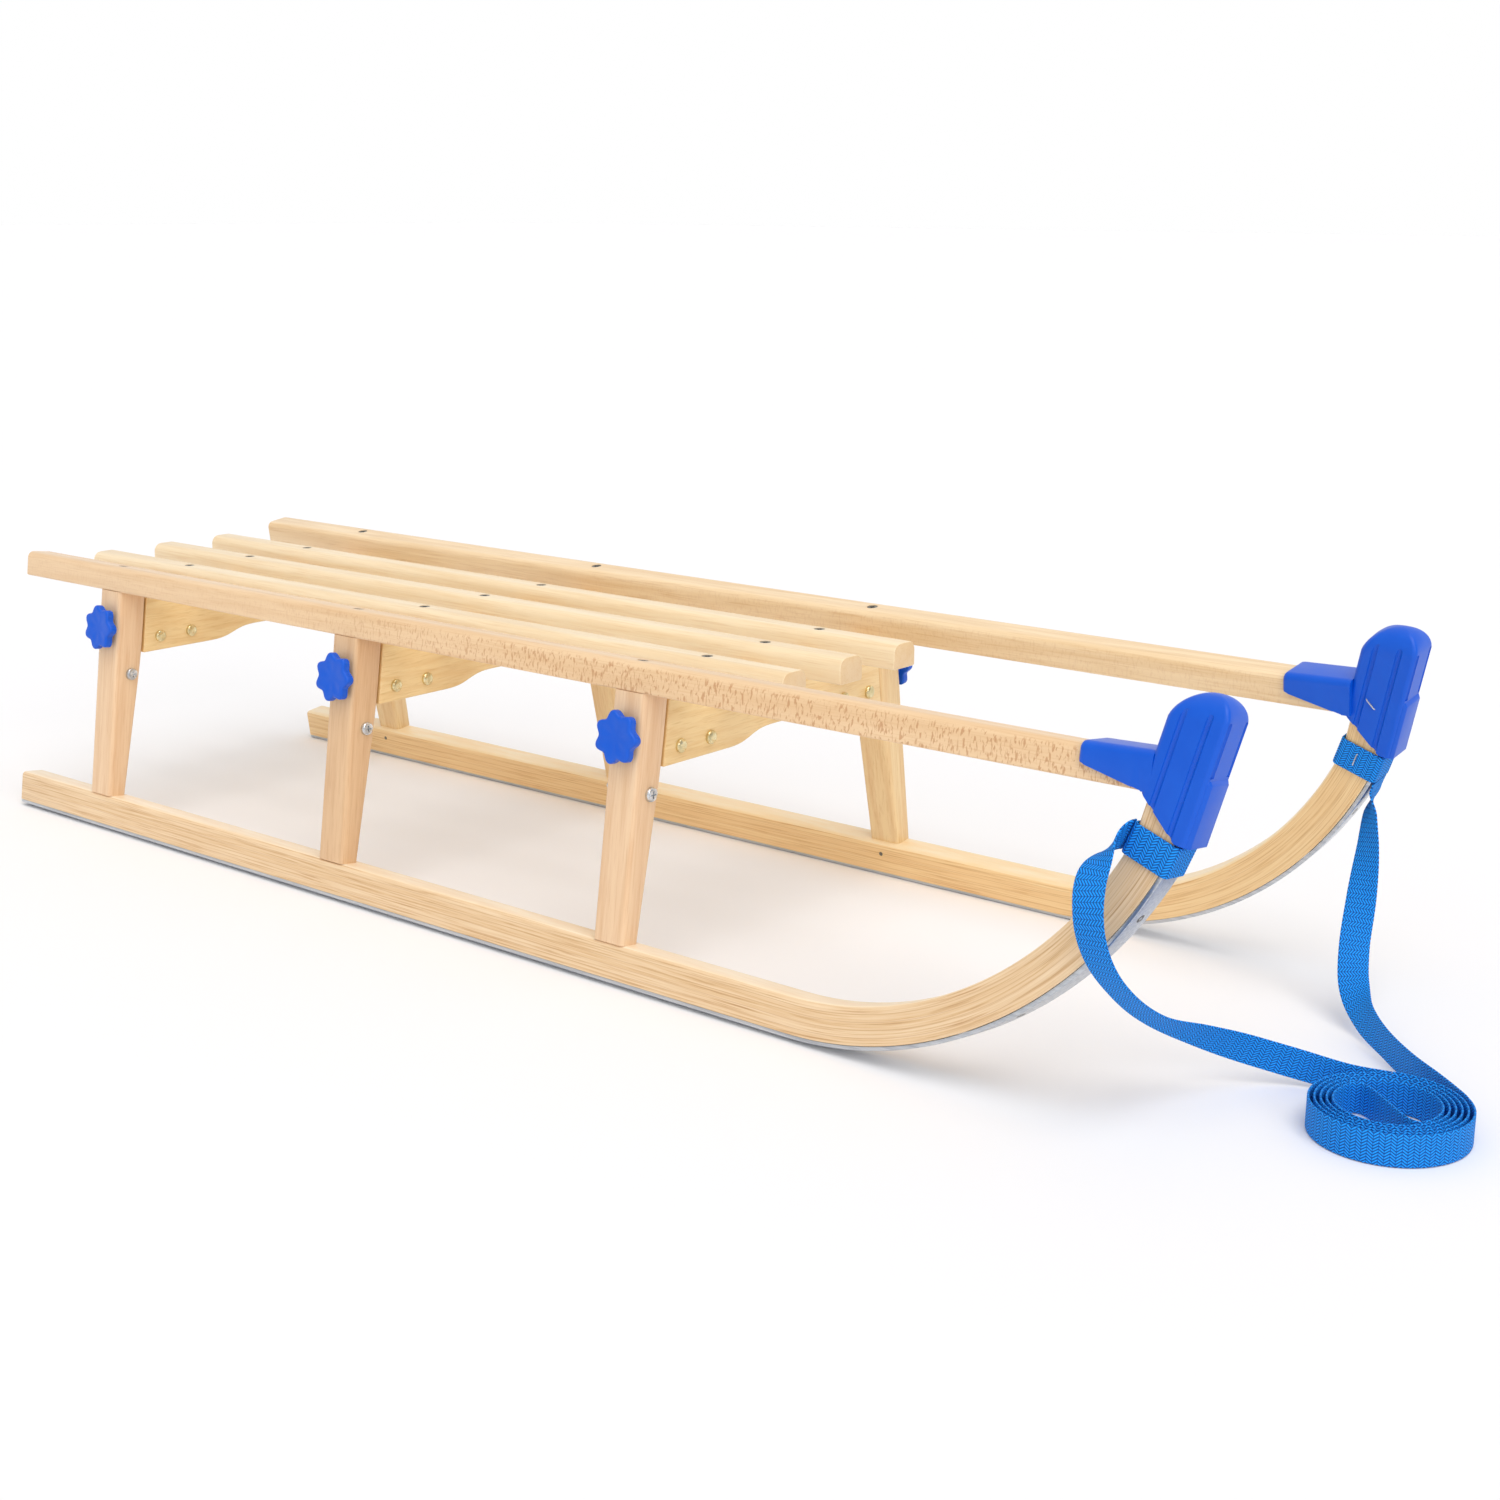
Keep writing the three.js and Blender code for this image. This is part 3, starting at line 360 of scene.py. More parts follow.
def drawn(outline: Outline, stations: list[Station], ease: float, shift: float = 0.0) -> Shape:
    """A bar drawn along a line, with rounded ends and marks along it and up its sides.

    Args:
        outline: The bar's outline, across and above the line.
        stations: The line.
        ease: How far the ends' edges are rounded.
        shift: What is added to the marks along the bar.

    Returns:
        The bar.
    """
    # The upper and lower faces show one wide layer of wood each, past the marks of the sides
    face_mark, face_width = 26.0, 3.0
    ends = [(ease * (1 - math.cos(a)), ease * (1 - math.sin(a))) for a in quarter(3)]
    placed = [(stations[0].onwards(step), inset) for step, inset in ends]
    placed += [(station, 0.0) for station in stations[1:-1]]
    placed += [(stations[-1].onwards(-step), inset) for step, inset in reversed(ends)]
    rings, ways, places = [], [], []
    for station, inset in placed:
        points = outline.points(inset)
        rings.append([station.point(w, offset) for w, offset in points])
        ways.append(station.way + shift)
        places.append(points)
    shape = lofted(rings)
    width = outline.right - outline.left
    count = len(rings[0])
    for row in range(len(rings) - 1):
        for k in range(count):
            after = (k + 1) % count
            (w0, o0), (w1, o1) = places[row][k], places[row][after]
            flat = abs(w1 - w0) > abs(o1 - o0)
            heights = [o - outline.low for o in (o0, o1)]
            if flat:
                heights = [face_mark + face_width * (w - outline.left) / width for w in (w0, w1)]
            shape.marks += quad_marks((ways[row], ways[row + 1]), tuple(heights))
    shape.marks += [(ways[0] + w, o - outline.low) for w, o in reversed(places[0])]
    shape.marks += [(ways[-1] + w, o - outline.low) for w, o in places[-1]]
    return shape


def straight(start: float, end: float) -> list[Station]:
    """The stations of a straight bar."""
    return [Station(start, 0.0, 0.0, 0.0), Station(end, 0.0, 0.0, end - start)]


def tidy(work: bmesh.types.BMesh) -> None:
    """Merges the doubled corners of a mesh and turns its faces outwards.

    Args:
        work: The mesh.
    """
    bmesh.ops.remove_doubles(work, verts=work.verts, dist=2e-6)
    bmesh.ops.dissolve_degenerate(work, dist=1e-6, edges=work.edges)
    bmesh.ops.recalc_face_normals(work, faces=work.faces)


def linked(name: str, data: bpy.types.ID) -> bpy.types.Object:
    """Makes an object and links it to the scene.

    Args:
        name: The object's name.
        data: Its mesh, lamp or camera.

    Returns:
        The object.
    """
    made = bpy.data.objects.new(name, data)
    bpy.context.scene.collection.objects.link(made)
    return made


def make_piece(
    name: str, shape: Shape, finish: bpy.types.Material, crease: float = 35.0
) -> bpy.types.Object:
    """Makes an object from a shape in millimetres whose x starts at the rear legs.

    Args:
        name: The piece's name.
        shape: Its corners and faces.
        finish: Its material.
        crease: The angle in degrees from which an edge stays sharp.

    Returns:
        The object.
    """
    mesh = bpy.data.meshes.new(name)
    points = [(ORIGIN_X + p.x * MM, p.y * MM, p.z * MM) for p in shape.points]
    mesh.from_pydata(points, [], shape.faces)
    if shape.marks:
        layer = mesh.uv_layers.new(name="millimetres")
        for loop, mark in enumerate(shape.marks):
            layer.data[loop].uv = mark
    work = bmesh.new()
    work.from_mesh(mesh)
    tidy(work)
    work.to_mesh(mesh)
    work.free()
    mesh.shade_smooth()
    mesh.set_sharp_from_angle(angle=math.radians(crease))
    mesh.materials.append(finish)
    LOG.info("made %s with %d faces", name, len(mesh.polygons))
    return linked(name, mesh)


def set_on(piece: bpy.types.Object, body: str, slot: str, *nodes: str) -> None:
    """Lets a piece ride on a body, and stand for CAD nodes.

    Args:
        piece: The piece.
        body: The body that carries it.
        slot: Not used.
        nodes: The CAD nodes that it stands for.
    """
    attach(piece, body)
    if nodes:
        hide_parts(*nodes)


def carved(base: Shape, *steps: tuple[Carving, Shape]) -> Shape:
    """Joins, cuts or crosses solids.

    Args:
        base: The solid to start from.
        steps: Solids, each with what it does to the first one.

    Returns:
        The solid that results.
    """
    made = []
    for number, shape in enumerate([base, *(solid for _, solid in steps)]):
        mesh = bpy.data.meshes.new(f"carving_{number}")
        mesh.from_pydata([p[:] for p in shape.points], [], shape.faces)
        work = bmesh.new()
        work.from_mesh(mesh)
        bmesh.ops.recalc_face_normals(work, faces=work.faces)
        work.to_mesh(mesh)
        work.free()
        made.append(linked(f"carving_{number}", mesh))
    for (kind, _), tool in zip(steps, made[1:]):
        step = made[0].modifiers.new(kind.name, "BOOLEAN")
        step.operation, step.object, step.solver = kind.value, tool, "EXACT"
    bpy.context.view_layer.update()
    result = made[0].evaluated_get(bpy.context.evaluated_depsgraph_get())
    mesh = bpy.data.meshes.new_from_object(result)
    shape = Shape([v.co.copy() for v in mesh.vertices], [tuple(f.vertices) for f in mesh.polygons])
    for piece in made:
        bpy.data.objects.remove(piece)
    return shape


def cut_by(base: Shape, cutters: list[Shape]) -> Shape:
    """A solid less several others."""
    return carved(base, *((Carving.CUT, cutter) for cutter in cutters))


def eased(shape: Shape, width: float, angle: float = 35.0, segments: int = 2) -> Shape:
    """Rounds the sharp edges of a solid.

    Args:
        shape: The solid.
        width: The rounding's width.
        angle: The angle in degrees from which an edge counts as sharp.
        segments: The count of steps in each rounding.

    Returns:
        The rounded solid.
    """
    work = bmesh.new()
    mesh = bpy.data.meshes.new("easing")
    mesh.from_pydata([p[:] for p in shape.points], [], shape.faces)
    work.from_mesh(mesh)
    bmesh.ops.remove_doubles(work, verts=work.verts, dist=1e-3)
    bmesh.ops.recalc_face_normals(work, faces=work.faces)
    limit = math.radians(angle)
    sharp = [e for e in work.edges if len(e.link_faces) == 2 and e.calc_face_angle(0) > limit]
    bmesh.ops.bevel(
        work, geom=sharp, offset=width, offset_type="OFFSET", segments=segments, profile=0.5,
        affect="EDGES", clamp_overlap=True,
    )
    work.verts.index_update()
    points = [v.co.copy() for v in work.verts]
    faces = [tuple(v.index for v in f.verts) for f in work.faces]
    work.free()
    return Shape(points, faces)


# Finishes


def linear(code: str) -> tuple[float, float, float, float]:
    """Turns an sRGB colour to linear.

    Args:
        code: The colour's hex code.

    Returns:
        The linear red, green and blue, and an alpha of 1.
    """
    parts = [int(code[k : k + 2], 16) / 255 for k in (1, 3, 5)]
    curve = [c / 12.92 if c <= 0.04045 else ((c + 0.055) / 1.055) ** 2.4 for c in parts]
    return (*curve, 1.0)


def add_node(
    tree: bpy.types.NodeTree,
    kind: str,
    settings: dict[str | int, object] | None = None,
    links: dict[str | int, bpy.types.Node | bpy.types.NodeSocket] | None = None,
) -> bpy.types.Node:
    """Adds a node with its settings and links.

    Args:
        tree: The node tree.
        kind: The shader node's type.
        settings: The node's own options, or the values of its inputs.
        links: What its inputs take, by name or number: a socket, or a node for its first one.

    Returns:
        The node.
    """
    node = tree.nodes.new(f"ShaderNode{kind}")
    for key, value in (settings or {}).items():
        if isinstance(key, str) and key in node.bl_rna.properties:
            setattr(node, key, value)
        else:
            node.inputs[key].default_value = value
    for key, source in (links or {}).items():
        socket = source.outputs[0] if isinstance(source, bpy.types.Node) else source
        tree.links.new(socket, node.inputs[key])
    return node


def blank_material(name: str) -> tuple[bpy.types.Material, bpy.types.NodeTree]:
    """Makes a material with an empty node tree.

    Args:
        name: The material's name.

    Returns:
        The material and its tree.
    """
    material = bpy.data.materials.new(name)
    material.use_nodes = True
    material.node_tree.nodes.clear()
    return material, material.node_tree


def close_material(tree: bpy.types.NodeTree, shader: bpy.types.Node) -> None:
    """Leads a shader to the material's output."""
    add_node(tree, "OutputMaterial", None, {"Surface": shader})


def dress(
    tree: bpy.types.NodeTree,
    settings: dict[str, float],
    colour: bpy.types.NodeSocket,
    relief: tuple[float, float, bpy.types.Node],
    gloss: bpy.types.Node | None = None,
) -> None:
    """Ends a material with its relief, its shader and its output.

    Args:
        tree: The node tree.
        settings: The values that the whole surface shares.
        colour: The surface's colour.
        relief: The relief's strength, its depth in millimetres and its height over the surface.
        gloss: The roughness over the surface, where it changes.
    """
    strength, depth, height = relief
    bump = add_node(tree, "Bump", {"Strength": strength, "Distance": depth * MM}, {"Height": height})
    links = {"Base Color": colour, "Normal": bump}
    if gloss is not None:
        links["Roughness"] = gloss
    close_material(tree, add_node(tree, "BsdfPrincipled", settings, links))


def facing(tree: bpy.types.NodeTree, place: bpy.types.Node, axis: int) -> bpy.types.Node:
    """How squarely a surface faces one way or the other along an axis.

    Args:
        tree: The node tree.
        place: The node that gives the surface's direction.
        axis: The axis's number.

    Returns:
        The node that gives it, from 0 to 1.
    """
    normal = add_node(tree, "SeparateXYZ", None, {0: place.outputs["Normal"]})
    return add_node(tree, "Math", {"operation": "ABSOLUTE"}, {0: normal.outputs[axis]})


@dataclass(frozen=True)
class VarnishedBeech:
    """Planed solid beech under a satin varnish: even, pale and warm, with faint lines."""

    name: str
    pale: str
    warm: str
    line: str
    grain: Grain
    lean: float = 0.0
    fleck: float = 0.0
    fleck_start: float = 0.0
    fleck_end: float = 1.0
    streak_length: float = 160.0
    streak_width: float = 7.0
    line_width: float = 1.1
    # Flecks of about 2 by 0.5 mm are too fine for the whole view, so they are drawn larger
    fleck_height: float = 3.8
    fleck_width: float = 1.3
    fleck_colour: str = "#bb7c48"
    end_share: float = 0.55
    ply: float = 0.0
    ply_share: float = 0.6

    def spread(self, along: float, across: float) -> tuple[float, float, float]:
        """The scale of a pattern that follows the fibres.

        Args:
            along: How long the pattern is along the fibres.
            across: How wide it is across them.

        Returns:
            The scale along each axis.
        """
        scale = [1 / across] * 3
        scale[self.grain.value] = 1 / along
        return tuple(scale)

    def make(self) -> bpy.types.Material:
        """Makes the material.

        Returns:
            The material.
        """
        material, tree = blank_material(self.name)
        place = add_node(tree, "TexCoord")
        mm = add_node(
            tree, "Mapping",
            {"Rotation": (self.lean, 0, 0), "Scale": (1 / MM,) * 3}, {"Vector": place.outputs["Object"]},
        )
        wide = add_node(
            tree, "VectorMath",
            {"operation": "MULTIPLY", 1: self.spread(self.streak_length, self.streak_width)},
            {0: mm},
        )
        streaks = add_node(
            tree, "TexNoise", {"Scale": 1.0, "Detail": 3.0, "Distortion": 0.4}, {"Vector": wide},
        )
        narrow = add_node(
            tree, "VectorMath",
            {"operation": "MULTIPLY", 1: self.spread(self.streak_length / 4, self.line_width)},
            {0: mm},
        )
        lines = add_node(
            tree, "TexNoise", {"Scale": 1.0, "Detail": 4.0, "Roughness": 0.6}, {"Vector": narrow},
        )
        body = add_node(
            tree, "MapRange",
            {"interpolation_type": "SMOOTHSTEP", "From Min": 0.32, "From Max": 0.74},
            {"Value": streaks},
        )
        base = add_node(
            tree, "Mix", {"data_type": "RGBA", 6: linear(self.pale), 7: linear(self.warm)}, {0: body},
        )
        thin = add_node(
            tree, "MapRange", {"From Min": 0.5, "From Max": 0.74, "To Max": 0.55}, {"Value": lines},
        )
        tones = [(self.line, thin)]
        if self.fleck:
            tones.append((self.fleck_colour, self.flecks(tree, mm, place)))
        tones.append((self.line, self.end_grain(tree, place)))
        if self.ply:
            tones.append((self.line, self.plies(tree, mm, place)))
        colour = base
        for tone, share in tones:
            colour = add_node(
                tree, "Mix", {"data_type": "RGBA", 7: linear(tone)}, {0: share, 6: colour.outputs[2]},
            )
        sheen = add_node(tree, "MapRange", {"To Min": 0.42, "To Max": 0.56}, {"Value": streaks})
        varnish = {"IOR": 1.5, "Coat Weight": 0.35, "Coat Roughness": 0.22}
        dress(tree, varnish, colour.outputs[2], (0.12, 0.1, lines), sheen)
        return material

    def end_grain(self, tree: bpy.types.NodeTree, place: bpy.types.Node) -> bpy.types.Node:
        """Where the end grain shows, which takes up more varnish and is darker for it."""
        return add_node(
            tree, "MapRange", {"From Min": 0.85, "From Max": 0.97, "To Max": self.end_share},
            {"Value": facing(tree, place, self.grain.value)},
        )

    def plies(
        self, tree: bpy.types.NodeTree, mm: bpy.types.Node, place: bpy.types.Node
    ) -> bpy.types.Node:
        """Where the dark plies show, on the edges of a sheet that faces forwards.

        Args:
            tree: The node tree.
            mm: The node that gives places in millimetres.
            place: The node that gives the surface's direction.

        Returns:
            The node that gives how strongly they show.
        """
        depth = add_node(tree, "SeparateXYZ", None, {0: mm})
        turn = add_node(tree, "Math", {"operation": "PINGPONG", 1: self.ply}, {0: depth})
        dark = add_node(
            tree, "MapRange",
            {"From Min": self.ply * 0.45, "From Max": self.ply * 0.55, "To Max": self.ply_share},
            {"Value": turn},
        )
        edge = add_node(
            tree, "MapRange", {"From Min": 0.5, "From Max": 0.3},
            {"Value": facing(tree, place, Grain.LENGTHWISE.value)},
        )
        return add_node(tree, "Math", {"operation": "MULTIPLY"}, {0: dark, 1: edge})

    def flecks(
        self, tree: bpy.types.NodeTree, mm: bpy.types.Node, place: bpy.types.Node
    ) -> bpy.types.Node:
        """Where the wood's short ray flecks show, on its sides and square to the fibres.

        Args:
            tree: The node tree.
            mm: The node that gives places in millimetres.
            place: The node that gives places and the surface's direction.

        Returns:
            The node that gives how strongly they show.
        """
        cells = add_node(
            tree, "VectorMath",
            {"operation": "MULTIPLY", 1: (1 / self.fleck_width, 1 / self.fleck_width, 1 / self.fleck_height)},
            {0: mm},
        )
        spots = add_node(
            tree, "TexNoise", {"Scale": 0.8, "Detail": 1.0, "Distortion": 0.7}, {"Vector": cells},
        )
        dots = add_node(
            tree, "MapRange", {"From Min": 0.54, "From Max": 0.64, "To Max": self.fleck}, {"Value": spots},
        )
        along = add_node(tree, "SeparateXYZ", None, {0: place.outputs["Object"]})
        reach = add_node(
            tree, "MapRange",
            {
                "interpolation_type": "SMOOTHSTEP", "From Min": self.fleck_start,
                "From Max": self.fleck_end, "To Min": 0.15,
            },
            {"Value": along},
        )
        sides = add_node(
            tree, "MapRange", {"From Min": 0.75, "From Max": 0.3},
            {"Value": facing(tree, place, Grain.UPRIGHT.value)},
        )
        held = add_node(tree, "Math", {"operation": "MULTIPLY"}, {0: dots, 1: reach})
        return add_node(tree, "Math", {"operation": "MULTIPLY"}, {0: held, 1: sides})


@dataclass(frozen=True)
class LaminatedBeech:
    """Thin beech layers glued and bent over a mould: streaked sides with the layers' dark joints, and upper
    and lower faces made near-white with painted light.
    """

    name: str
    pale: str
    warm: str
    line: str
    # The near-white of the upper and lower faces is painted light, as on a top lit from above; the lower face
    # takes it too.
    face: str
    layer: float = 5.0
    joint: float = 0.35
    streak_length: float = 70.0
    streak_width: float = 1.3
    # Marks from here on lie on the upper and lower faces
    face_mark: float = 25.5

    def make(self) -> bpy.types.Material:
        """Makes the material, whose marks give the way along the runner and the height in it.

        Returns:
            The material.
        """
        material, tree = blank_material(self.name)
        marks = add_node(tree, "UVMap", {"uv_map": "millimetres"})
        mm = add_node(tree, "SeparateXYZ", None, {0: marks})
        depth = add_node(
            tree, "VectorMath",
            {"operation": "MULTIPLY", 1: (1 / self.streak_length, 1 / self.streak_width, 1.0)},
            {0: marks},
        )
        streaks = add_node(
            tree, "TexNoise",
            {"Scale": 1.0, "Detail": 4.0, "Roughness": 0.62, "Distortion": 0.25},
            {"Vector": depth},
        )
        layer = add_node(tree, "Math", {"operation": "DIVIDE", 1: self.layer}, {0: mm.outputs[1]})
        number = add_node(tree, "Math", {"operation": "FLOOR"}, {0: layer})
        tone = add_node(tree, "TexWhiteNoise", {"noise_dimensions": "1D"}, {"W": number})
        edge = add_node(tree, "Math", {"operation": "PINGPONG", 1: 0.5}, {0: layer})
        joint = add_node(
            tree, "MapRange",
            {"From Min": 0.0, "From Max": self.joint / self.layer, "To Min": 0.5, "To Max": 0.0},
            {"Value": edge},
        )
        spread = add_node(tree, "MapRange", {"From Min": 0.34, "From Max": 0.7}, {"Value": streaks})
        mixed = add_node(tree, "Math", {"operation": "MULTIPLY_ADD", 1: 0.3}, {0: tone, 2: spread})
        base = add_node(
            tree, "Mix", {"data_type": "RGBA", 6: linear(self.pale), 7: linear(self.warm)}, {0: mixed},
        )
        dark = add_node(
            tree, "MapRange", {"From Min": 0.54, "From Max": 0.72, "To Max": 0.75}, {"Value": streaks},
        )
        lines = add_node(tree, "Math", {"operation": "MAXIMUM"}, {0: dark, 1: joint})
        sides = add_node(
            tree, "Mix", {"data_type": "RGBA", 7: linear(self.line)}, {0: lines, 6: base.outputs[2]},
        )
        outer = add_node(tree, "Math", {"operation": "GREATER_THAN", 1: self.face_mark}, {0: mm.outputs[1]})
        # Painted light: the upper and lower faces take the near-white face colour.
        painted_lit_faces = add_node(
            tree, "Mix", {"data_type": "RGBA", 6: linear(self.face), 7: linear(self.pale)}, {0: spread},
        )
        colour = add_node(
            tree, "Mix", {"data_type": "RGBA"}, {0: outer, 6: sides.outputs[2], 7: painted_lit_faces.outputs[2]},
        )
        sheen = add_node(tree, "MapRange", {"To Min": 0.42, "To Max": 0.55}, {"Value": streaks})
        varnish = {"IOR": 1.5, "Coat Weight": 0.35, "Coat Roughness": 0.25}
        dress(tree, varnish, colour.outputs[2], (0.15, 0.1, streaks), sheen)
        return material


@dataclass(frozen=True)
class MouldedPlastic:
    """Polypropylene from a finely textured mould: deep blue with a satin, mottled gloss."""

    name: str
    colour: str
    worn: str
    roughness: float = 0.34
    grain_size: float = 0.8
    mottle_size: float = 14.0

    def make(self) -> bpy.types.Material:
        """Makes the material.

        Returns:
            The material.
        """
        material, tree = blank_material(self.name)
        place = add_node(tree, "TexCoord")
        fine = add_node(
            tree, "TexNoise", {"Scale": 1 / (self.grain_size * MM), "Detail": 2.0},
            {"Vector": place.outputs["Object"]},
        )
        broad = add_node(
            tree, "TexNoise", {"Scale": 1 / (self.mottle_size * MM), "Detail": 3.0},
            {"Vector": place.outputs["Object"]},
        )
        tint = add_node(
            tree, "MapRange", {"From Min": 0.4, "From Max": 0.8, "To Max": 0.35}, {"Value": broad},
        )
        colour = add_node(
            tree, "Mix", {"data_type": "RGBA", 6: linear(self.colour), 7: linear(self.worn)}, {0: tint},
        )
        gloss = add_node(
            tree, "MapRange", {"To Min": self.roughness - 0.05, "To Max": self.roughness + 0.1},
            {"Value": broad},
        )
        skin = {"IOR": 1.49, "Specular IOR Level": 0.38}
        dress(tree, skin, colour.outputs[2], (0.12, 0.04, fine), gloss)
        return material


@dataclass(frozen=True)
class PlatedSteel:
    """Cold-formed or drawn steel with a thin zinc coat: grey metal with soft streaks or blotches."""

    name: str
    colour: str
    dull: str
    roughness: float = 0.32
    streak: tuple[float, float, float] = (6.0, 6.0, 6.0)

    def make(self) -> bpy.types.Material:
        """Makes the material.

        Returns:
            The material.
        """
        material, tree = blank_material(self.name)
        place = add_node(tree, "TexCoord")
        spread = add_node(
            tree, "Mapping", {"Scale": tuple(1 / (s * MM) for s in self.streak)},
            {"Vector": place.outputs["Object"]},
        )
        cloud = add_node(tree, "TexNoise", {"Scale": 1.0, "Detail": 4.0}, {"Vector": spread})
        tint = add_node(tree, "MapRange", {"From Min": 0.35, "From Max": 0.7}, {"Value": cloud})
        colour = add_node(
            tree, "Mix", {"data_type": "RGBA", 6: linear(self.colour), 7: linear(self.dull)}, {0: tint},
        )
        gloss = add_node(
            tree, "MapRange", {"To Min": self.roughness - 0.08, "To Max": self.roughness + 0.12},
            {"Value": cloud},
        )
        metal = {"Metallic": 1.0}
        dress(tree, metal, colour.outputs[2], (0.1, 0.05, cloud), gloss)
        return material


@dataclass(frozen=True)
class WovenWebbing:
    """Polypropylene tape woven in a herringbone: bright slanted yarns, with painted shade in the valleys
    between them and in the seams between the columns.
    """

    name: str
    yarn: str
    valley: str
    # Yarns of about 0.7 mm are too fine for the whole view, so they are drawn over twice as wide
    row: float = 1.9
    column: float = 3.2
    slant: float = 0.75

    def make(self) -> bpy.types.Material:
        """Makes the material, whose marks give the way along the tape and the place across it.

        Returns:
            The material.
        """
        material, tree = blank_material(self.name)
        marks = add_node(tree, "UVMap", {"uv_map": "millimetres"})
        mm = add_node(tree, "SeparateXYZ", None, {0: marks})
        zigzag = add_node(tree, "Math", {"operation": "PINGPONG", 1: self.column}, {0: mm})
        slanted = add_node(
            tree, "Math", {"operation": "MULTIPLY_ADD", 1: self.slant}, {0: zigzag, 2: mm.outputs[1]},
        )
        ridge = add_node(tree, "Math", {"operation": "PINGPONG", 1: self.row / 2}, {0: slanted})
        rounded = add_node(
            tree, "MapRange",
            {"interpolation_type": "SMOOTHSTEP", "From Min": 0.0, "From Max": self.row * 0.36},
            {"Value": ridge},
        )
        # The seams between the columns sink, and the colour darkens there as painted shade.
        seam = add_node(tree, "Math", {"operation": "PINGPONG", 1: self.column / 2}, {0: mm})
        between = add_node(
            tree, "MapRange",
            {"From Min": 0.0, "From Max": self.column / 8, "To Min": 0.35},
            {"Value": seam},
        )
        height = add_node(tree, "Math", {"operation": "MULTIPLY"}, {0: rounded, 1: between})
        # The colour runs from the painted shade of the valleys up to the yarn's colour on the crests.
        colour = add_node(
            tree, "Mix", {"data_type": "RGBA", 6: linear(self.valley), 7: linear(self.yarn)}, {0: height},
        )
        yarns = {"Roughness": 0.68, "IOR": 1.49, "Specular IOR Level": 0.25}
        dress(tree, yarns, colour.outputs[2], (0.7, 0.3, height))
        return material


@dataclass
class Finishes:
    """Every material of the sledge."""

    seat_slat: bpy.types.Material = field(init=False)
    board: bpy.types.Material = field(init=False)
    legs: dict[tuple[Side, Crossing], bpy.types.Material] = field(default_factory=dict)
    outer_slats: dict[Side, bpy.types.Material] = field(default_factory=dict)
    runners: dict[Side, bpy.types.Material] = field(default_factory=dict)
    plastic: bpy.types.Material = field(init=False)
    webbing: bpy.types.Material = field(init=False)
    shoe: bpy.types.Material = field(init=False)
    bright: bpy.types.Material = field(init=False)
    yellow: bpy.types.Material = field(init=False)
    dark: bpy.types.Material = field(init=False)

    def __post_init__(self) -> None:
        """Makes the materials."""
        self.make_wood()
        self.plastic = MouldedPlastic("blue_moulded_polypropylene", "#0057d0", "#0463dc").make()
        # The webbing's second colour is painted shade for the valleys between its yarns.
        self.webbing = WovenWebbing("blue_woven_webbing", "#1a9dff", "#002f80").make()
        self.shoe = PlatedSteel("drawn_steel_strip", "#ccd0d5", "#b2b7be", 0.3, (60, 2, 2)).make()
        self.bright = PlatedSteel("white_zinc_plated_steel", "#e6e8ea", "#b4b8bc", 0.24).make()
        self.yellow = PlatedSteel("yellow_zinc_plated_steel", "#eee0b4", "#cfbf8e", 0.26).make()
        self.dark = PlatedSteel("dull_zinc_plated_screw_steel", "#8f8a80", "#5f5a52", 0.42).make()

    def make_wood(self) -> None:
        """Makes the woods: the right side frame is the pinker one, and the left one is golden and lighter,
        where the extra lightness is painted light on the far frame's shaded inner faces.
        """
        self.seat_slat = VarnishedBeech(
            "seat_slat_beech", "#f8e2bc", "#f0d4a8", "#dfb782", Grain.LENGTHWISE
        ).make()
        self.board = VarnishedBeech(
            "board_plywood", "#f8d9a0", "#eec88a", "#d8ae6c", Grain.CROSSWISE,
            streak_length=60, streak_width=5, ply=2.8,
        ).make()
        # The left side's colours are golden and also lighter than the right side's; that extra lightness is
        # painted light that lifts the far frame's shaded inner faces.
        legs = {
            Side.RIGHT: ("#efcda6", "#e4bc92", "#d4a376"),
            Side.LEFT: ("#f4d6a2", "#eac48e", "#d2a468"),
        }
        # One leg is from a darker board than the others
        darker = {(Side.RIGHT, Crossing.MIDDLE): ("#e3bd92", "#d8ae82", "#c69668")}
        slats = {
            Side.RIGHT: ("#efcda2", "#e6c092", "#d6a876"),
            Side.LEFT: ("#f6dab0", "#eac898", "#d4a872"),
        }
        # Each runner's fourth colour is the near-white of its upper and lower faces, painted light.
        runners = {
            Side.RIGHT: ("#f2d6b0", "#e0ba88", "#b98656", "#fbeacd"),
            Side.LEFT: ("#fad9a2", "#eec488", "#c6925a", "#fde9c4"),
        }
        flecks = {Side.RIGHT: 0.62, Side.LEFT: 0.12}
        for side in Side:
            turn = -side.value * SidePlane(side).lean
            for crossing in Crossing:
                self.legs[side, crossing] = VarnishedBeech(
                    f"leg_beech_{crossing.word}_{side.word}",
                    *darker.get((side, crossing), legs[side]),
                    Grain.UPRIGHT, lean=turn, streak_length=110, streak_width=6,
                ).make()
            self.outer_slats[side] = VarnishedBeech(
                f"outer_slat_beech_{side.word}", *slats[side], Grain.LENGTHWISE, lean=turn,
                fleck=flecks[side], fleck_start=-0.3, fleck_end=0.1,
            ).make()
            self.runners[side] = LaminatedBeech(
                f"runner_laminated_beech_{side.word}", *runners[side]
            ).make()


# Where things are


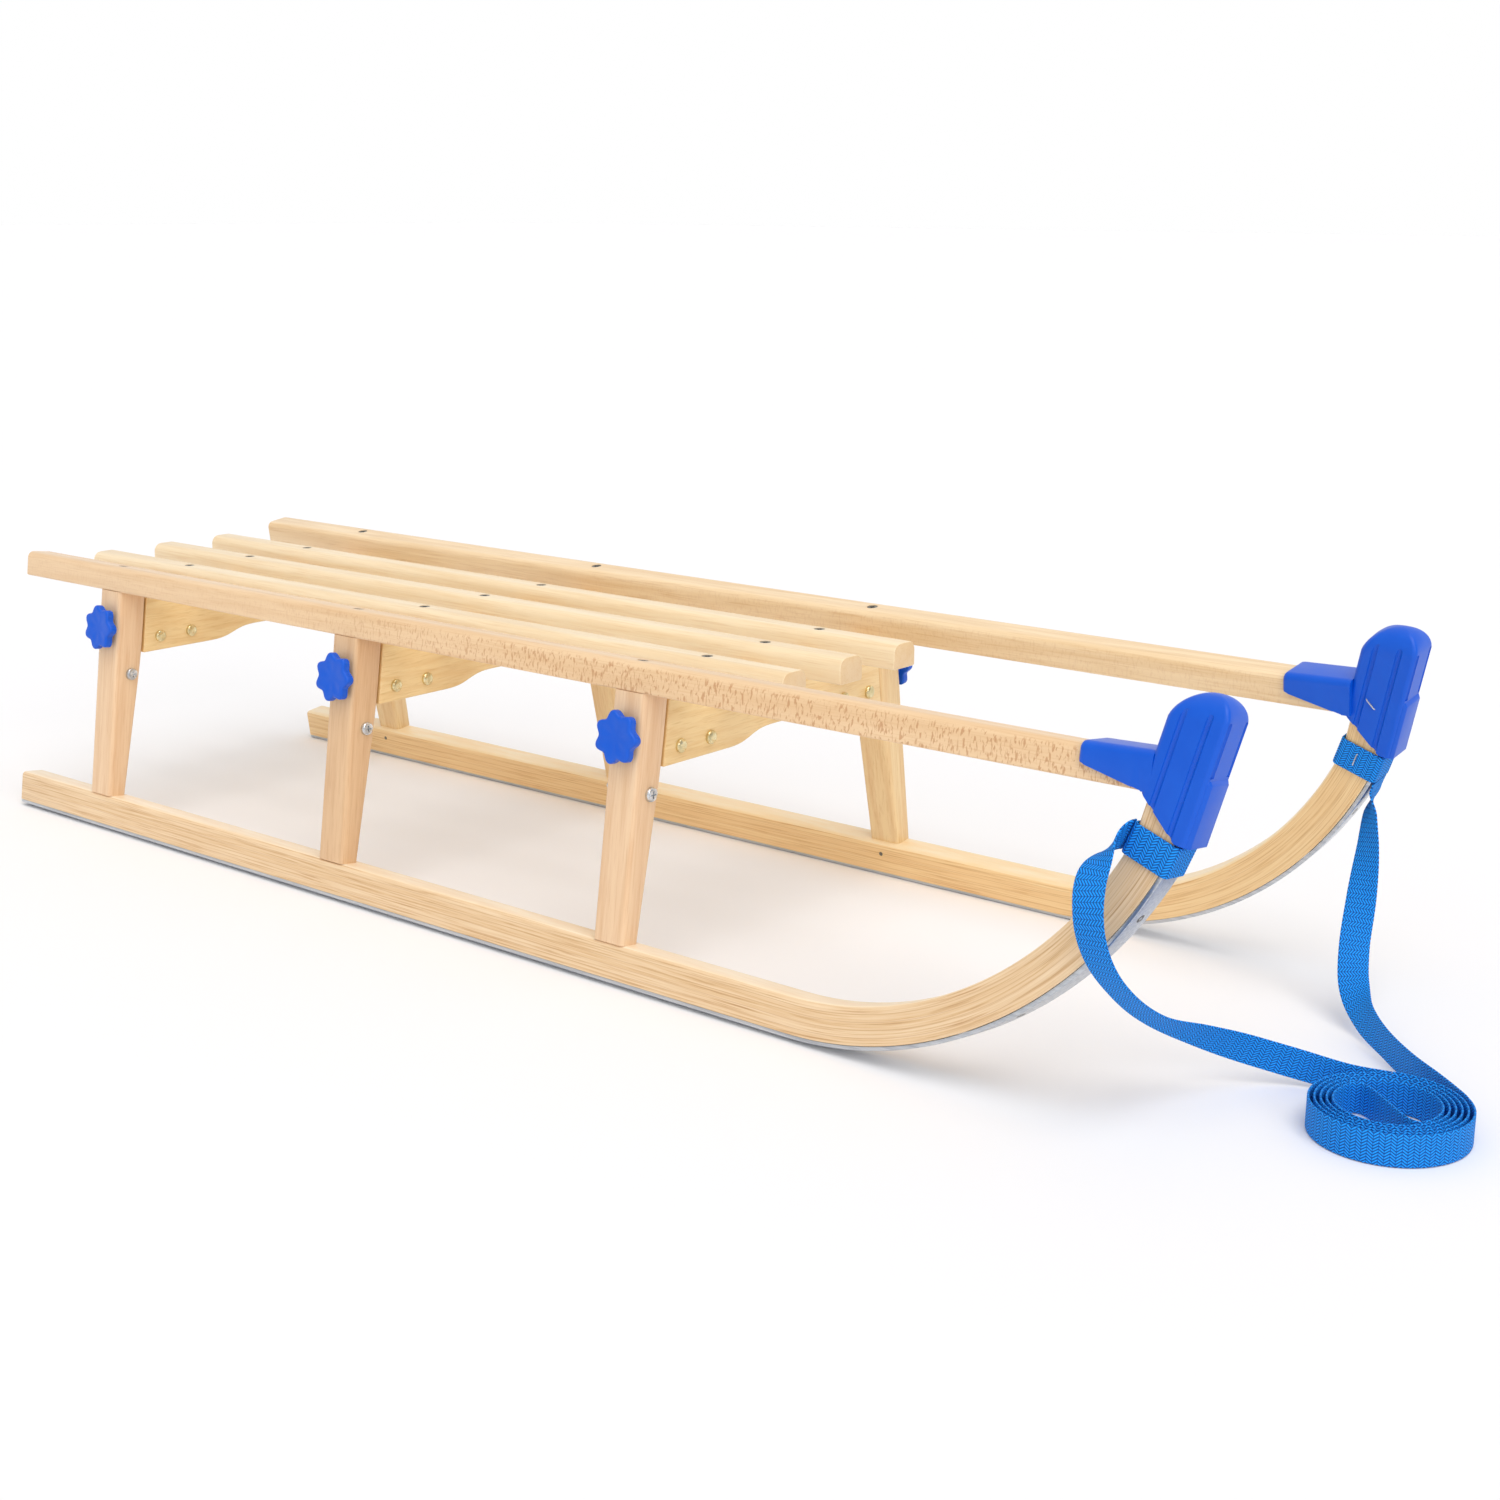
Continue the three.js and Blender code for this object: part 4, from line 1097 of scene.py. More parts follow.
@dataclass(frozen=True)
class SidePlane:
    """The leaning plane of a side frame."""

    side: Side
    lean: float = math.radians(8)
    half_span: float = 175.0

    @property
    def lift(self) -> float:
        """How far the leaning lifts the runner's outer lower edge off the floor."""
        return RUNNER.width * math.sin(self.lean)

    @property
    def matrix(self) -> Matrix:
        """The matrix from (x, w, h) in the plane to the sledge's own axes.

        Returns:
            The matrix.
        """
        sign = self.side.value
        cosine, sine = math.cos(self.lean), math.sin(self.lean)
        place = (0, sign * self.half_span, self.lift)
        return axes((1, 0, 0), (0, sign * cosine, sine), (0, -sign * sine, cosine), place)

    def y_at(self, w: float, z: float) -> float:
        """How far out the plane at w lies at height z."""
        h = (z - self.lift - w * math.sin(self.lean)) / math.cos(self.lean)
        return self.half_span + w * math.cos(self.lean) - h * math.sin(self.lean)


@dataclass(frozen=True)
class RunnerCurve:
    """The bent line of a runner, in its side frame's plane."""

    wood_base: float = 3.0
    rear_x: float = -131.0
    bend_x: float = 736.0
    bend_radius: float = 277.0
    bend_rise: float = 147.0
    tip_radius: float = 130.0
    tip_angle: float = math.radians(77)
    tip_top: float = 239.2

    @property
    def bend_angle(self) -> float:
        """The angle at which the tighter bend starts."""
        return math.acos(1 - self.bend_rise / self.bend_radius)

    @property
    def tip_length(self) -> float:
        """The length of the straight tip."""
        return (self.tip_top - self.at(self.tip_angle, 0.0)[1]) / math.sin(self.tip_angle)

    def at(self, angle: float, offset: float) -> tuple[float, float]:
        """The place on the curve at an angle.

        Args:
            angle: How far the curve has turned upwards.
            offset: How far above the wood's lower face the place is.

        Returns:
            The place's x and h.
        """
        x, h = self.bend_x, self.wood_base + self.bend_radius
        radius = self.bend_radius
        if angle > self.bend_angle:
            reach = self.bend_radius - self.tip_radius
            x, h = x + reach * math.sin(self.bend_angle), h - reach * math.cos(self.bend_angle)
            radius = self.tip_radius
        return x + (radius - offset) * math.sin(angle), h - (radius - offset) * math.cos(angle)

    def stations(self, tip_length: float) -> list[Station]:
        """The line from the rear end to the tip, along the wood's lower face.

        Args:
            tip_length: How far the line goes up the straight tip.

        Returns:
            The stations.
        """
        flats, steps = 8, 48
        span = self.bend_x - self.rear_x
        ways = [span * k / flats for k in range(flats)]
        line = [Station(self.rear_x + way, self.wood_base, 0.0, way) for way in ways]
        way = span
        before = Vector((self.bend_x, self.wood_base))
        for k in range(steps + 1):
            angle = self.tip_angle * k / steps
            place = Vector(self.at(angle, 0.0))
            way += (place - before).length
            line.append(Station(place.x, place.y, angle, way))
            before = place
        return [*line, line[-1].onwards(tip_length)]

    def outwards(self, angle: float, offset: float, w: float) -> Matrix:
        """The matrix that points Z out of the runner's lower face, with X along the curve.

        Args:
            angle: How far the curve has turned upwards.
            offset: How far above the wood's lower face the place is.
            w: The place across the runner.

        Returns:
            The matrix.
        """
        x, h = self.at(angle, offset)
        cosine, sine = math.cos(angle), math.sin(angle)
        return axes((cosine, 0, sine), (0, 1, 0), (sine, 0, -cosine), (x, w, h))

    @property
    def tip_matrix(self) -> Matrix:
        """The matrix from the tip's own axes: forwards out of the wood, w, and up along the tip."""
        x, h = self.at(self.tip_angle, 0.0)
        return Matrix.Translation((x, 0, h)) @ Matrix.Rotation(math.pi / 2 - self.tip_angle, 4, "Y")


CURVE = RunnerCurve()


# Small fasteners, drawn with the surface that they sit on at z = 0


@dataclass(frozen=True)
class Fasteners:
    """Screws, bolts, nuts and pins."""

    head_radius: float = 4.0
    shoe_head_radius: float = 3.0
    # How far a shoe screw's own axes stand out of the shoe
    shoe_head_stand: float = 0.3
    head_sink: float = 0.25
    head_edge: float = 0.5
    bolt_radius: float = 5.0
    bolt_height: float = 3.2
    bolt_flat: float = 0.25
    pivot_radius: float = 5.2
    pivot_flat: float = 0.62
    dome_share: float = 0.6
    nut_flats: float = 8.0
    nut_thickness: float = 4.6
    nut_ease: float = 0.45
    shaft_radius: float = 2.5
    spare: float = 2.0
    thread_pitch: float = 0.8
    thread_depth: float = 0.3
    slot_width: float = 1.2
    slot_depth: float = 1.8

    def crossed(self, head: Shape, reach: float, top: float) -> Shape:
        """Cuts the cross for a screwdriver into a head.

        Args:
            head: The head.
            reach: How far the cross reaches from its middle.
            top: The height of the head's top.

        Returns:
            The head with its cross.
        """
        half = self.slot_width / 2
        over = top + self.slot_depth
        bars = [
            cuboid((-reach, -half, top - self.slot_depth), (reach, half, over)),
            cuboid((-half, -reach, top - self.slot_depth), (half, reach, over)),
        ]
        return cut_by(head, bars)

    def countersunk(self, radius: float) -> Shape:
        """A countersunk screw's head.

        Args:
            radius: The head's radius.

        Returns:
            The head, with its cross.
        """
        top = -self.head_sink
        outline = [(radius * 0.4, -radius * 0.9), (radius, top - self.head_edge), (radius, top)]
        return self.crossed(turned(outline, segments=28), radius * 0.55, top)

    def domed_head(self, radius: float, flat_share: float) -> Shape:
        """A head whose shoulder is rounded from its edge to its flat top.

        Args:
            radius: The head's radius.
            flat_share: The flat top's radius as a share of the head's.

        Returns:
            The head.
        """
        shoulder, flat = self.bolt_height * (1 - self.dome_share), radius * flat_share
        rise = self.bolt_height - shoulder
        dome = [
            (flat + (radius - flat) * math.cos(a), shoulder + rise * math.sin(a)) for a in quarter(8)
        ]
        return turned([(radius, 0.0), *dome], segments=32)

    def pan_head(self, radius: float) -> Shape:
        """A pan head with its cross."""
        return self.crossed(self.domed_head(radius, self.pivot_flat), radius * 0.5, self.bolt_height)

    def nut(self) -> Shape:
        """A hexagon nut with its bolt's threaded end, standing up from z = 0.

        Returns:
            The nut and the thread.
        """
        corner = self.nut_flats / 2 / math.cos(math.pi / 6)
        turns = [k * math.pi / 3 for k in range(6)]
        hexagon = [(corner * math.cos(a), corner * math.sin(a)) for a in turns]
        body = eased(prism(hexagon, 0.0, self.nut_thickness), self.nut_ease)
        rows = int((self.nut_thickness + self.spare) / self.thread_pitch * 2)
        thread = []
        for k in range(rows + 1):
            radius = self.shaft_radius - (self.thread_depth if k % 2 else 0.0)
            thread.append((radius, k * self.thread_pitch / 2 + GAP))
        return body.add(turned(thread, segments=20))

    def sunk_into(self, bar: Shape, places: list[Matrix]) -> tuple[Shape, Shape]:
        """Sinks countersunk screws into a bar.

        Args:
            bar: The bar.
            places: Where the screws go, on the bar's face.

        Returns:
            The bar with its holes, and the screws.
        """
        radius = self.head_radius
        edge = radius + GAP
        hole = turned([(radius * 0.5, -edge), (edge, -GAP), (edge, GAP * 4)], segments=28)
        holed = cut_by(bar, [hole.moved(place) for place in places])
        return holed, copies(self.countersunk(radius), places)

    def pin_end(self) -> Shape:
        """The end of a foot pin, slightly proud of the wood."""
        return turned([(1.5, -0.4), (1.7, 0.1), (1.2, 0.5)], segments=16)


FASTENERS = Fasteners()
FORWARD_AXIS = (0, 0, -1), (0, 1, 0), (1, 0, 0)
BACKWARD_AXIS = (0, 0, 1), (0, 1, 0), (-1, 0, 0)


# Pull strap


def flowing(rows: list[tuple[float, ...]], share: float) -> list[float]:
    """A place on the smooth line through rows of numbers, eased by the distance between them.

    Args:
        rows: The rows that the line goes through.
        share: How far along it the place is, from 0 to 1.

    Returns:
        The numbers at that place.
    """
    reach = (len(rows) - 1) * share
    start = min(int(reach), len(rows) - 2)
    weight = reach - start
    first, last = rows[0], rows[-1]
    before = rows[start - 1] if start > 0 else [2 * a - b for a, b in zip(first, rows[1])]
    after = rows[start + 2] if start + 2 < len(rows) else [2 * a - b for a, b in zip(last, rows[-2])]
    near, far = rows[start], rows[start + 1]
    gaps = [max(math.dist(a, b) ** 0.5, 1e-4) for a, b in ((before, near), (near, far), (far, after))]
    place = []
    for a, b, c, d in zip(before, near, far, after):
        leaving = (b - a) / gaps[0] - (c - a) / (gaps[0] + gaps[1]) + (c - b) / gaps[1]
        arriving = (c - b) / gaps[1] - (d - b) / (gaps[1] + gaps[2]) + (d - c) / gaps[2]
        out, into = leaving * gaps[1], arriving * gaps[1]
        square, cube = -3 * b + 3 * c - 2 * out - into, 2 * b - 2 * c + out + into
        place.append(b + weight * (out + weight * (square + weight * cube)))
    return place


@dataclass(frozen=True)
class Tape:
    """A flat woven tape with rounded edges."""

    width: float = 20.0
    thickness: float = 1.3

    def section(self) -> list[tuple[float, float]]:
        """The tape's outline, across it and through it.

        Returns:
            Pairs of a place across the tape and one through it.
        """
        half, edge = self.width / 2, self.thickness / 2
        flats = [-half + edge + (self.width - self.thickness) * k / 6 for k in range(7)]
        turns = [math.pi * k / 4 for k in (1, 2, 3)]
        right = [(half - edge + edge * math.sin(a), edge * math.cos(a)) for a in turns]
        left = [(-half + edge - edge * math.sin(a), edge * math.cos(a)) for a in reversed(turns)]
        return [*((w, edge) for w in flats), *right, *((w, -edge) for w in reversed(flats)), *left]

    def along(self, points: list[Vector], across: list[Vector]) -> Shape:
        """The tape along a line, marked in millimetres along and across it.

        Args:
            points: The tape's middle line.
            across: The direction across the tape at each point.

        Returns:
            The tape.
        """
        section = self.section()
        rings, ways, way = [], [], 0.0
        for k, point in enumerate(points):
            ahead = (points[min(k + 1, len(points) - 1)] - points[max(k - 1, 0)]).normalized()
            side = (across[k] - ahead * ahead.dot(across[k])).normalized()
            normal = ahead.cross(side)
            rings.append([point + side * w + normal * t for w, t in section])
            way += (point - points[k - 1]).length if k else 0.0
            ways.append(way)
        shape = lofted(rings)
        count = len(section)
        places = [w for w, _ in section]
        for row in range(len(points) - 1):
            for k in range(count):
                across_face = (places[k], places[(k + 1) % count])
                shape.marks += quad_marks((ways[row], ways[row + 1]), across_face)
        shape.marks += [(0.0, place) for place in reversed(places)]
        shape.marks += [(ways[-1], place) for place in places]
        return shape


TAPE = Tape()


def length_of(shape: Shape) -> float:
    """The length of a tape in metres, read from its marks."""
    return max(way for way, _ in shape.marks) * MM


@dataclass
class PullStrap:
    """The pull strap: two hanging stretches and the flat coil that they end in."""

    coil_centre: tuple[float, float] = (1091.0, -60.0)
    floor_gap: float = 0.4
    inner_radius: float = 30.42
    pitch: float = 7.0
    near_turns: float = 2.311
    far_turns: float = 2.631
    far_start: float = math.radians(45)
    bridge_reach: float = 0.95
    bridge_tilt: float = math.radians(-36)
    end_gap: float = 0.3
    steps_per_turn: int = 72
    stretch_steps: int = 110
    # Each row is a place on the strap's middle line, then the direction across its width
    near_route: tuple[tuple[float, ...], ...] = (
        (961.2, -146.5, 177.1, 0.36, 0.13, 0.92),
        (961.0, -153.5, 177.4, 0.38, 0.10, 0.92),
        (957.0, -167.0, 169.0, 0.70, 0.20, 0.65),
        (956.0, -178.0, 158.0, 0.95, 0.15, 0.25),
        (958.9, -186.0, 143.9, 1.00, 0.00, 0.00),
        (961.1, -186.0, 126.7, 1.00, 0.00, 0.00),
        (962.8, -176.0, 106.4, 1.00, 0.00, 0.00),
        (964.9, -155.0, 84.0, 1.00, 0.00, 0.05),
        (968.5, -120.0, 58.5, 0.90, 0.05, 0.25),
        (979.5, -80.0, 38.8, 0.60, 0.00, 0.70),
        (997.5, -48.0, 23.8, 0.20, 0.00, 0.95),
        (1025.0, -27.0, 13.6, 0.02, 0.00, 1.00),
        (1052.0, -22.0, 10.7, 0.00, 0.00, 1.00),
    )
    far_route: tuple[tuple[float, ...], ...] = (
        (987.9, 142.6, 154.7, 0.00, 0.99, 0.14),
        (984.9, 143.8, 146.2, -0.03, 0.98, 0.14),
        (983.8, 141.5, 130.0, -0.72, 0.70, 0.05),
        (986.2, 136.0, 106.5, -0.92, 0.38, 0.00),
        (989.0, 125.0, 74.5, -0.96, -0.20, -0.05),
        (993.1, 110.0, 46.0, -0.82, -0.55, -0.10),
        (1001.8, 93.0, 27.4, -0.75, -0.50, -0.35),
        (1018.4, 72.0, 16.0, -0.40, -0.20, -0.90),
        (1045.2, 45.0, 11.4, -0.05, 0.00, -1.00),
        (1073.9, 18.0, 10.6, 0.00, 0.00, -1.00),
        (1100.3, -2.5, 10.4, 0.00, 0.00, -1.00),
    )

    @property
    def far_inner_angle(self) -> float:
        """The angle at which the far arm leaves the coil's middle."""
        return self.far_start - self.far_turns * math.tau

    @property
    def near_inner_angle(self) -> float:
        """The angle at which the near arm leaves the coil's middle."""
        return self.far_inner_angle - math.pi

    def coil_point(self, radius: float, angle: float) -> Vector:
        """A place in the coil, at mid height of the strap that stands on its edge.

        Args:
            radius: How far it is from the coil's middle.
            angle: Its angle about the middle.

        Returns:
            The place.
        """
        x, y = self.coil_centre
        height = self.floor_gap + TAPE.width / 2
        return Vector((x + radius * math.cos(angle), y + radius * math.sin(angle), height))

    def arm(self, inner_angle: float, turns: float) -> list[Vector]:
        """One arm of the coil from its inner end outwards.

        Args:
            inner_angle: The angle of its inner end.
            turns: How many turns it makes.

        Returns:
            The places along it.
        """
        steps = round(turns * self.steps_per_turn)
        made = [k / steps * turns for k in range(steps + 1)]
        return [
            self.coil_point(self.inner_radius + self.pitch * t, inner_angle + t * math.tau) for t in made
        ]

    def bridge(self, inner_angle: float) -> list[Vector]:
        """The S in which the strap crosses the coil's middle.

        Args:
            inner_angle: The angle at which the near arm ends.

        Returns:
            The places on the S between the two arms.
        """
        steps, reach = 24, self.inner_radius * self.bridge_reach
        middle, start = self.coil_point(0.0, 0.0), self.coil_point(self.inner_radius, inner_angle)
        inwards = Vector((math.sin(inner_angle), -math.cos(inner_angle), 0))
        crossing = Vector((-math.cos(inner_angle), -math.sin(inner_angle), 0))
        crossing = Matrix.Rotation(self.bridge_tilt, 3, "Z") @ crossing
        ends = (start, start + inwards * reach, middle - crossing * reach / 2, middle)
        half = []
        for k in range(1, steps + 1):
            t = k / steps
            weights = ((1 - t) ** 3, 3 * t * (1 - t) ** 2, 3 * t * t * (1 - t), t**3)
            half.append(sum((end * w for end, w in zip(ends, weights)), Vector()))
        return [*half, *(2 * middle - p for p in reversed(half[:-1]))]

    def coil_line(self) -> list[Vector]:
        """The coil's middle line, from the near arm's outer end to the far arm's."""
        return [
            *reversed(self.arm(self.near_inner_angle, self.near_turns)),
            *self.bridge(self.near_inner_angle),
            *self.arm(self.far_inner_angle, self.far_turns),
        ]

    def stretch(
        self, route: tuple[tuple[float, ...], ...], coil_end: Vector, coil_next: Vector
    ) -> Shape:
        """A hanging stretch that ends a gap short of the coil's end, in line with it.

        Args:
            route: The places it goes through, each with the direction across the strap.
            coil_end: The coil's outer end.
            coil_next: The place after that end.

        Returns:
            The stretch.
        """
        along = (coil_next - coil_end).normalized()
        last = coil_end - along * self.end_gap
        before = last - along * TAPE.width / 4
        rows = [*route, *((*p, 0.0, 0.0, math.copysign(1.0, route[-1][-1])) for p in (before, last))]
        shares = [k / self.stretch_steps for k in range(self.stretch_steps + 1)]
        points = [Vector(flowing([r[:3] for r in rows], share)) for share in shares]
        across = [Vector(flowing([r[3:] for r in rows], share)) for share in shares]
        return TAPE.along(points, across)

    def build(self, webbing: bpy.types.Material) -> None:
        """Builds the three pieces of the strap.

        Args:
            webbing: Their material.
        """
        line = self.coil_line()
        stretches = (
            ("strap_near", self.near_route, line[0], line[1], Side.RIGHT),
            ("strap_far", self.far_route, line[-1], line[-2], Side.LEFT),
        )
        for name, route, end, following, side in stretches:
            shape = self.stretch(route, end, following)
            piece = make_piece(f"{name}_woven", shape, webbing, crease=60)
            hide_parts(name)
            side.body
            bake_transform(piece)
            f"woven_strap_loop_{side.word}"
            LOG.info("%s is %.3f m long", name, length_of(shape))
        shape = TAPE.along(line, [Vector((0, 0, 1))] * len(line))
        piece = make_piece("strap_coil_woven", shape, webbing, crease=60)
        set_on(piece, "seat", "webbing", "strap_coil")
        LOG.info("strap_coil is %.3f m long", length_of(shape))


# Side frames


@dataclass
class FrontCap:
    """The moulded cap over a runner's tip and its slat's end, in the tip's own axes (n, w, t)."""

    rear: float = -28.9
    front: float = 8.3
    middle: float = -11.0
    half_width: float = 14.0
    rear_corner: float = 4.2
    front_corner: float = 3.2
    drop: float = 5.2
    roof: float = 8.4
    dome_height: float = 15.8
    crown_share: float = 0.06
    dome_start: float = math.radians(12)
    dome_fullness: float = 0.9
    # The lip at the lower end is drawn in this far, over the same height
    lip: float = 0.5
    lip_corner_share: float = 0.6
    block_share: float = 0.535
    block_front: float = 10.3
    block_half_width: float = 10.2
    block_root: float = -5.0
    block_slope: float = 2.6
    block_spread: float = 2.2
    block_top_spread: float = 1.6
    block_ease: float = 0.6
    # How far faces are sunk into each other where two solids are joined
    sunk: float = 0.1
    groove_radius: float = 2.0
    groove_stand: float = 0.5
    groove_foot: float = -30.0
    groove_slope: float = 0.15
    groove_rise: float = 2.7
    rear_groove: float = -18.7
    front_groove: float = -2.8
    pad_half_width: float = 10.0
    pad_margin: float = 1.0
    hood_length: float = 42.0
    hood_overlap: float = 2.5
    hood_root: float = 5.5
    hood_wall: float = 2.7
    hood_roof: float = 1.9
    hood_roof_growth: float = 1.3
    hood_corner: float = 5.0
    hood_lower_corner: float = 0.4
    hood_tip_ease: float = 2.4
    tip_skirt: float = 11.0
    # How far the solids that hollow the cap reach back, aside and up or down
    cutter_reach: tuple[float, float, float] = (200.0, 60.0, 120.0)
    cutter_half_width: float = 30.0
    slat_behind: float = 130.0
    slat_before: float = 25.0
    mouth_front: float = 1.4
    mouth_rear: float = 6.0
    mouth_depth: float = 65.0
    mouth_lift: float = 0.6
    staple_share: float = 0.774
    staple_n: float = -12.5
    staple_tilt: float = math.radians(-56)

    @property
    def rim(self) -> float:
        """The height of the rim where the dome starts, at n = 0."""
        return CURVE.tip_length + self.roof

    @property
    def level(self) -> float:
        """How far a level line rises along the tip for each step forwards."""
        return 1 / math.tan(CURVE.tip_angle)

    @property
    def half_length(self) -> float:
        """Half the body's length from its rear face to its front face."""
        return (self.front - self.rear) / 2

    @property
    def hub(self) -> Vector:
        """The middle of the body's outline."""
        return Vector(((self.front + self.rear) / 2, self.middle, 0.0))

    @property
    def block_top(self) -> float:
        """The height of the block's top."""
        return self.rim * self.block_share

    @property
    def staple_matrix(self) -> Matrix:
        """The matrix from a staple's axes to its place on the cap's inner side, aslant.

        Returns:
            The matrix.
        """
        height = self.block_top * self.staple_share
        place = Matrix.Translation((self.staple_n, self.middle - self.half_width, height))
        return CURVE.tip_matrix @ place @ Matrix.Rotation(self.staple_tilt, 4, "Y")

    def ring(self, height: float, inset: float) -> list[Vector]:
        """One ring of the body, square to the tip.

        Args:
            height: Its place along the tip.
            inset: How far it is drawn in from the walls.

        Returns:
            The ring's points.
        """
        half_length, half_width = self.half_length - inset, self.half_width - inset
        steps = 7
        corners = []
        for across, sideways, start in ((1, 1, 0.0), (-1, 1, 0.5), (-1, -1, 1.0), (1, -1, 1.5)):
            corner = self.front_corner if across > 0 else self.rear_corner
            radius = min(corner + inset * self.lip_corner_share, half_width)
            angles = [(start + k / steps / 2) * math.pi for k in range(steps + 1)]
            ns = [self.hub.x + across * (half_length - radius) + radius * math.cos(a) for a in angles]
            ws = [self.hub.y + sideways * (half_width - radius) + radius * math.sin(a) for a in angles]
            corners.append([Vector((n, w, height)) for n, w in zip(ns, ws)])
        # The straight sides have points too, so that the dome above them is round
        points = []
        for corner, after in zip(corners, corners[1:] + corners[:1]):
            points += corner + [corner[-1].lerp(after[0], k / steps) for k in range(1, steps)]
        return points

    def body(self) -> Shape:
        """The body: walls along the tip, then a dome whose rim stands level.

        Returns:
            The body.
        """
        rings = [self.ring(-self.drop, self.lip), self.ring(self.lip - self.drop, 0.0)]
        steps = 14
        hub, half_length, half_width = self.hub, self.half_length, self.half_width
        walls = [point - hub for point in self.ring(0.0, 0.0)]
        turns = [math.atan2(wall.y / half_width, wall.x / half_length) for wall in walls]
        ovals = [Vector((half_length * math.cos(a), half_width * math.sin(a), 0.0)) for a in turns]
        for k in range(steps + 1):
            angle = self.dome_start + (math.pi / 2 - self.dome_start) * k / steps
            reach = max(math.cos(angle) / math.cos(self.dome_start), self.crown_share) ** self.dome_fullness
            rise = (math.sin(angle) - math.sin(self.dome_start)) / (1 - math.sin(self.dome_start))
            height = self.rim + rise**self.dome_fullness * self.dome_height
            drawn_in = [hub + wall.lerp(oval, 1 - reach) * reach for wall, oval in zip(walls, ovals)]
            rings.append([Vector((at.x, at.y, height + at.x * self.level)) for at in drawn_in])
        return lofted(rings)

    def block(self) -> Shape:
        """The thicker block low on the front face, with a sloping top.

        Returns:
            The block.
        """
        top, wall = self.block_top, self.front - self.sunk
        rings = []
        rows = (
            (-self.drop, self.block_front, self.block_spread),
            (top - self.block_slope, self.block_front, self.block_spread),
            (top, self.front - 2 * self.sunk, self.block_top_spread),
        )
        for height, front, spread in rows:
            half, wide = self.block_half_width, self.block_half_width + spread
            outline = (
                (self.block_root, -wide), (wall, -wide), (front, -half),
                (front, half), (wall, wide), (self.block_root, wide),
            )
            rings.append([Vector((n, self.middle + w, height)) for n, w in outline])
        return eased(lofted(rings), self.block_ease, angle=20)

    def hood(self) -> Shape:
        """The hood that covers the outer slat's front end, in the side frame's axes.

        Returns:
            The hood.
        """
        tip_x, tip_h = CURVE.at(CURVE.tip_angle, 0.0)
        middle_rise = (SLAT.base + SLAT.top) / 2 - tip_h
        root = tip_x + middle_rise * self.level + self.rear - self.hood_overlap
        tip = root - self.hood_length
        rings = []
        steps = 10
        for k in range(steps + 2):
            share = min(k / steps, 1.0)
            x = tip + self.hood_length * share + (self.hood_root if k > steps else 0.0)
            low = (SLAT.top - self.tip_skirt) * (1 - share) + SLAT.base * share
            high = SLAT.top + GAP + self.hood_roof + self.hood_roof_growth * share
            outline = Outline(
                -SLAT.width - GAP - self.hood_wall, GAP + self.hood_wall, low, high,
                self.hood_corner, self.hood_lower_corner,
            )
            if k == 0:
                ease = self.hood_tip_ease
                for turn in (0.0, math.pi / 6, math.pi / 3):
                    inset, step = ease * (1 - math.sin(turn)), ease * (1 - math.cos(turn))
                    rings.append([Vector((x + step, w, h)) for w, h in outline.points(inset)])
                x += ease
            rings.append([Vector((x, w, h)) for w, h in outline.points()])
        return lofted(rings)

    def hollows(self) -> list[Shape]:
        """What the runner's tip, its shoe and the slat's end take out of the cap.

        Returns:
            The solids to cut away.
        """
        onto = CURVE.tip_matrix
        back, aside, upwards = self.cutter_reach
        inner = -RUNNER.width - GAP
        horn = cuboid((-RUNNER.thickness - GAP, inner, -aside), (GAP, GAP, CURVE.tip_length + GAP))
        shoe = cuboid((-GAP, inner, -aside), (CURVE.wood_base + GAP, GAP, RUNNER.shoe_rise + GAP))
        tip_x, tip_h = CURVE.at(CURVE.tip_angle, 0.0)
        slat = Outline(-SLAT.width - GAP, GAP, SLAT.base - GAP, SLAT.top + GAP, SLAT.corner, 0.2)
        bar = drawn(slat, straight(tip_x - self.slat_behind, tip_x + self.slat_before), ease=0.0)
        wall = self.rear + 2 * self.sunk
        behind = cuboid((-back, -aside, -upwards), (wall, aside, upwards)).moved(onto)
        top = (SLAT.base + self.mouth_lift - tip_h) / math.sin(CURVE.tip_angle) + self.rear * self.level
        far, low, front = self.rear - self.mouth_rear, -self.mouth_depth, self.mouth_front
        mouth = prism(
            [(far, low), (front, low), (front, -self.drop), (self.rear, top), (far, top)],
            -self.cutter_half_width, self.cutter_half_width,
        ).moved(axes((1, 0, 0), (0, 0, 1), (0, -1, 0), (0, 0, 0)))
        end = carved(bar, (Carving.CROSS, behind))
        return [horn.moved(onto), shoe.moved(onto), end, mouth.moved(onto)]

    def grooves(self) -> list[Shape]:
        """The round-bottomed grooves down the sides and beside the front pad.

        Returns:
            The solids to cut away.
        """
        radius, reach = self.groove_radius, self.half_width + self.groove_stand
        rows = []
        for n in (self.rear_groove, self.front_groove):
            end = self.rim + n * (self.level - self.groove_slope) + self.groove_rise
            rows += [(n, self.middle + w, self.groove_foot, end) for w in (reach, -reach)]
        for w in (-self.pad_half_width, self.pad_half_width):
            start, end = self.block_top + self.pad_margin, self.rim + self.pad_margin
            rows.append((self.front + self.groove_stand, self.middle + w, start, end))
        made = []
        for n, w, start, end in rows:
            round_end = [(radius * math.cos(a), end + radius * math.sin(a)) for a in quarter(4)]
            place = CURVE.tip_matrix @ Matrix.Translation((n, w, 0))
            made.append(turned([(radius, start), *round_end], segments=16).moved(place))
        return made

    def shape(self) -> Shape:
        """The whole cap in its side frame's axes.

        Returns:
            The cap.
        """
        onto = CURVE.tip_matrix
        joined = (Carving.JOIN, self.block().moved(onto)), (Carving.JOIN, self.hood())
        outside = carved(self.body().moved(onto), *joined)
        return cut_by(outside, [*self.hollows(), *self.grooves()])


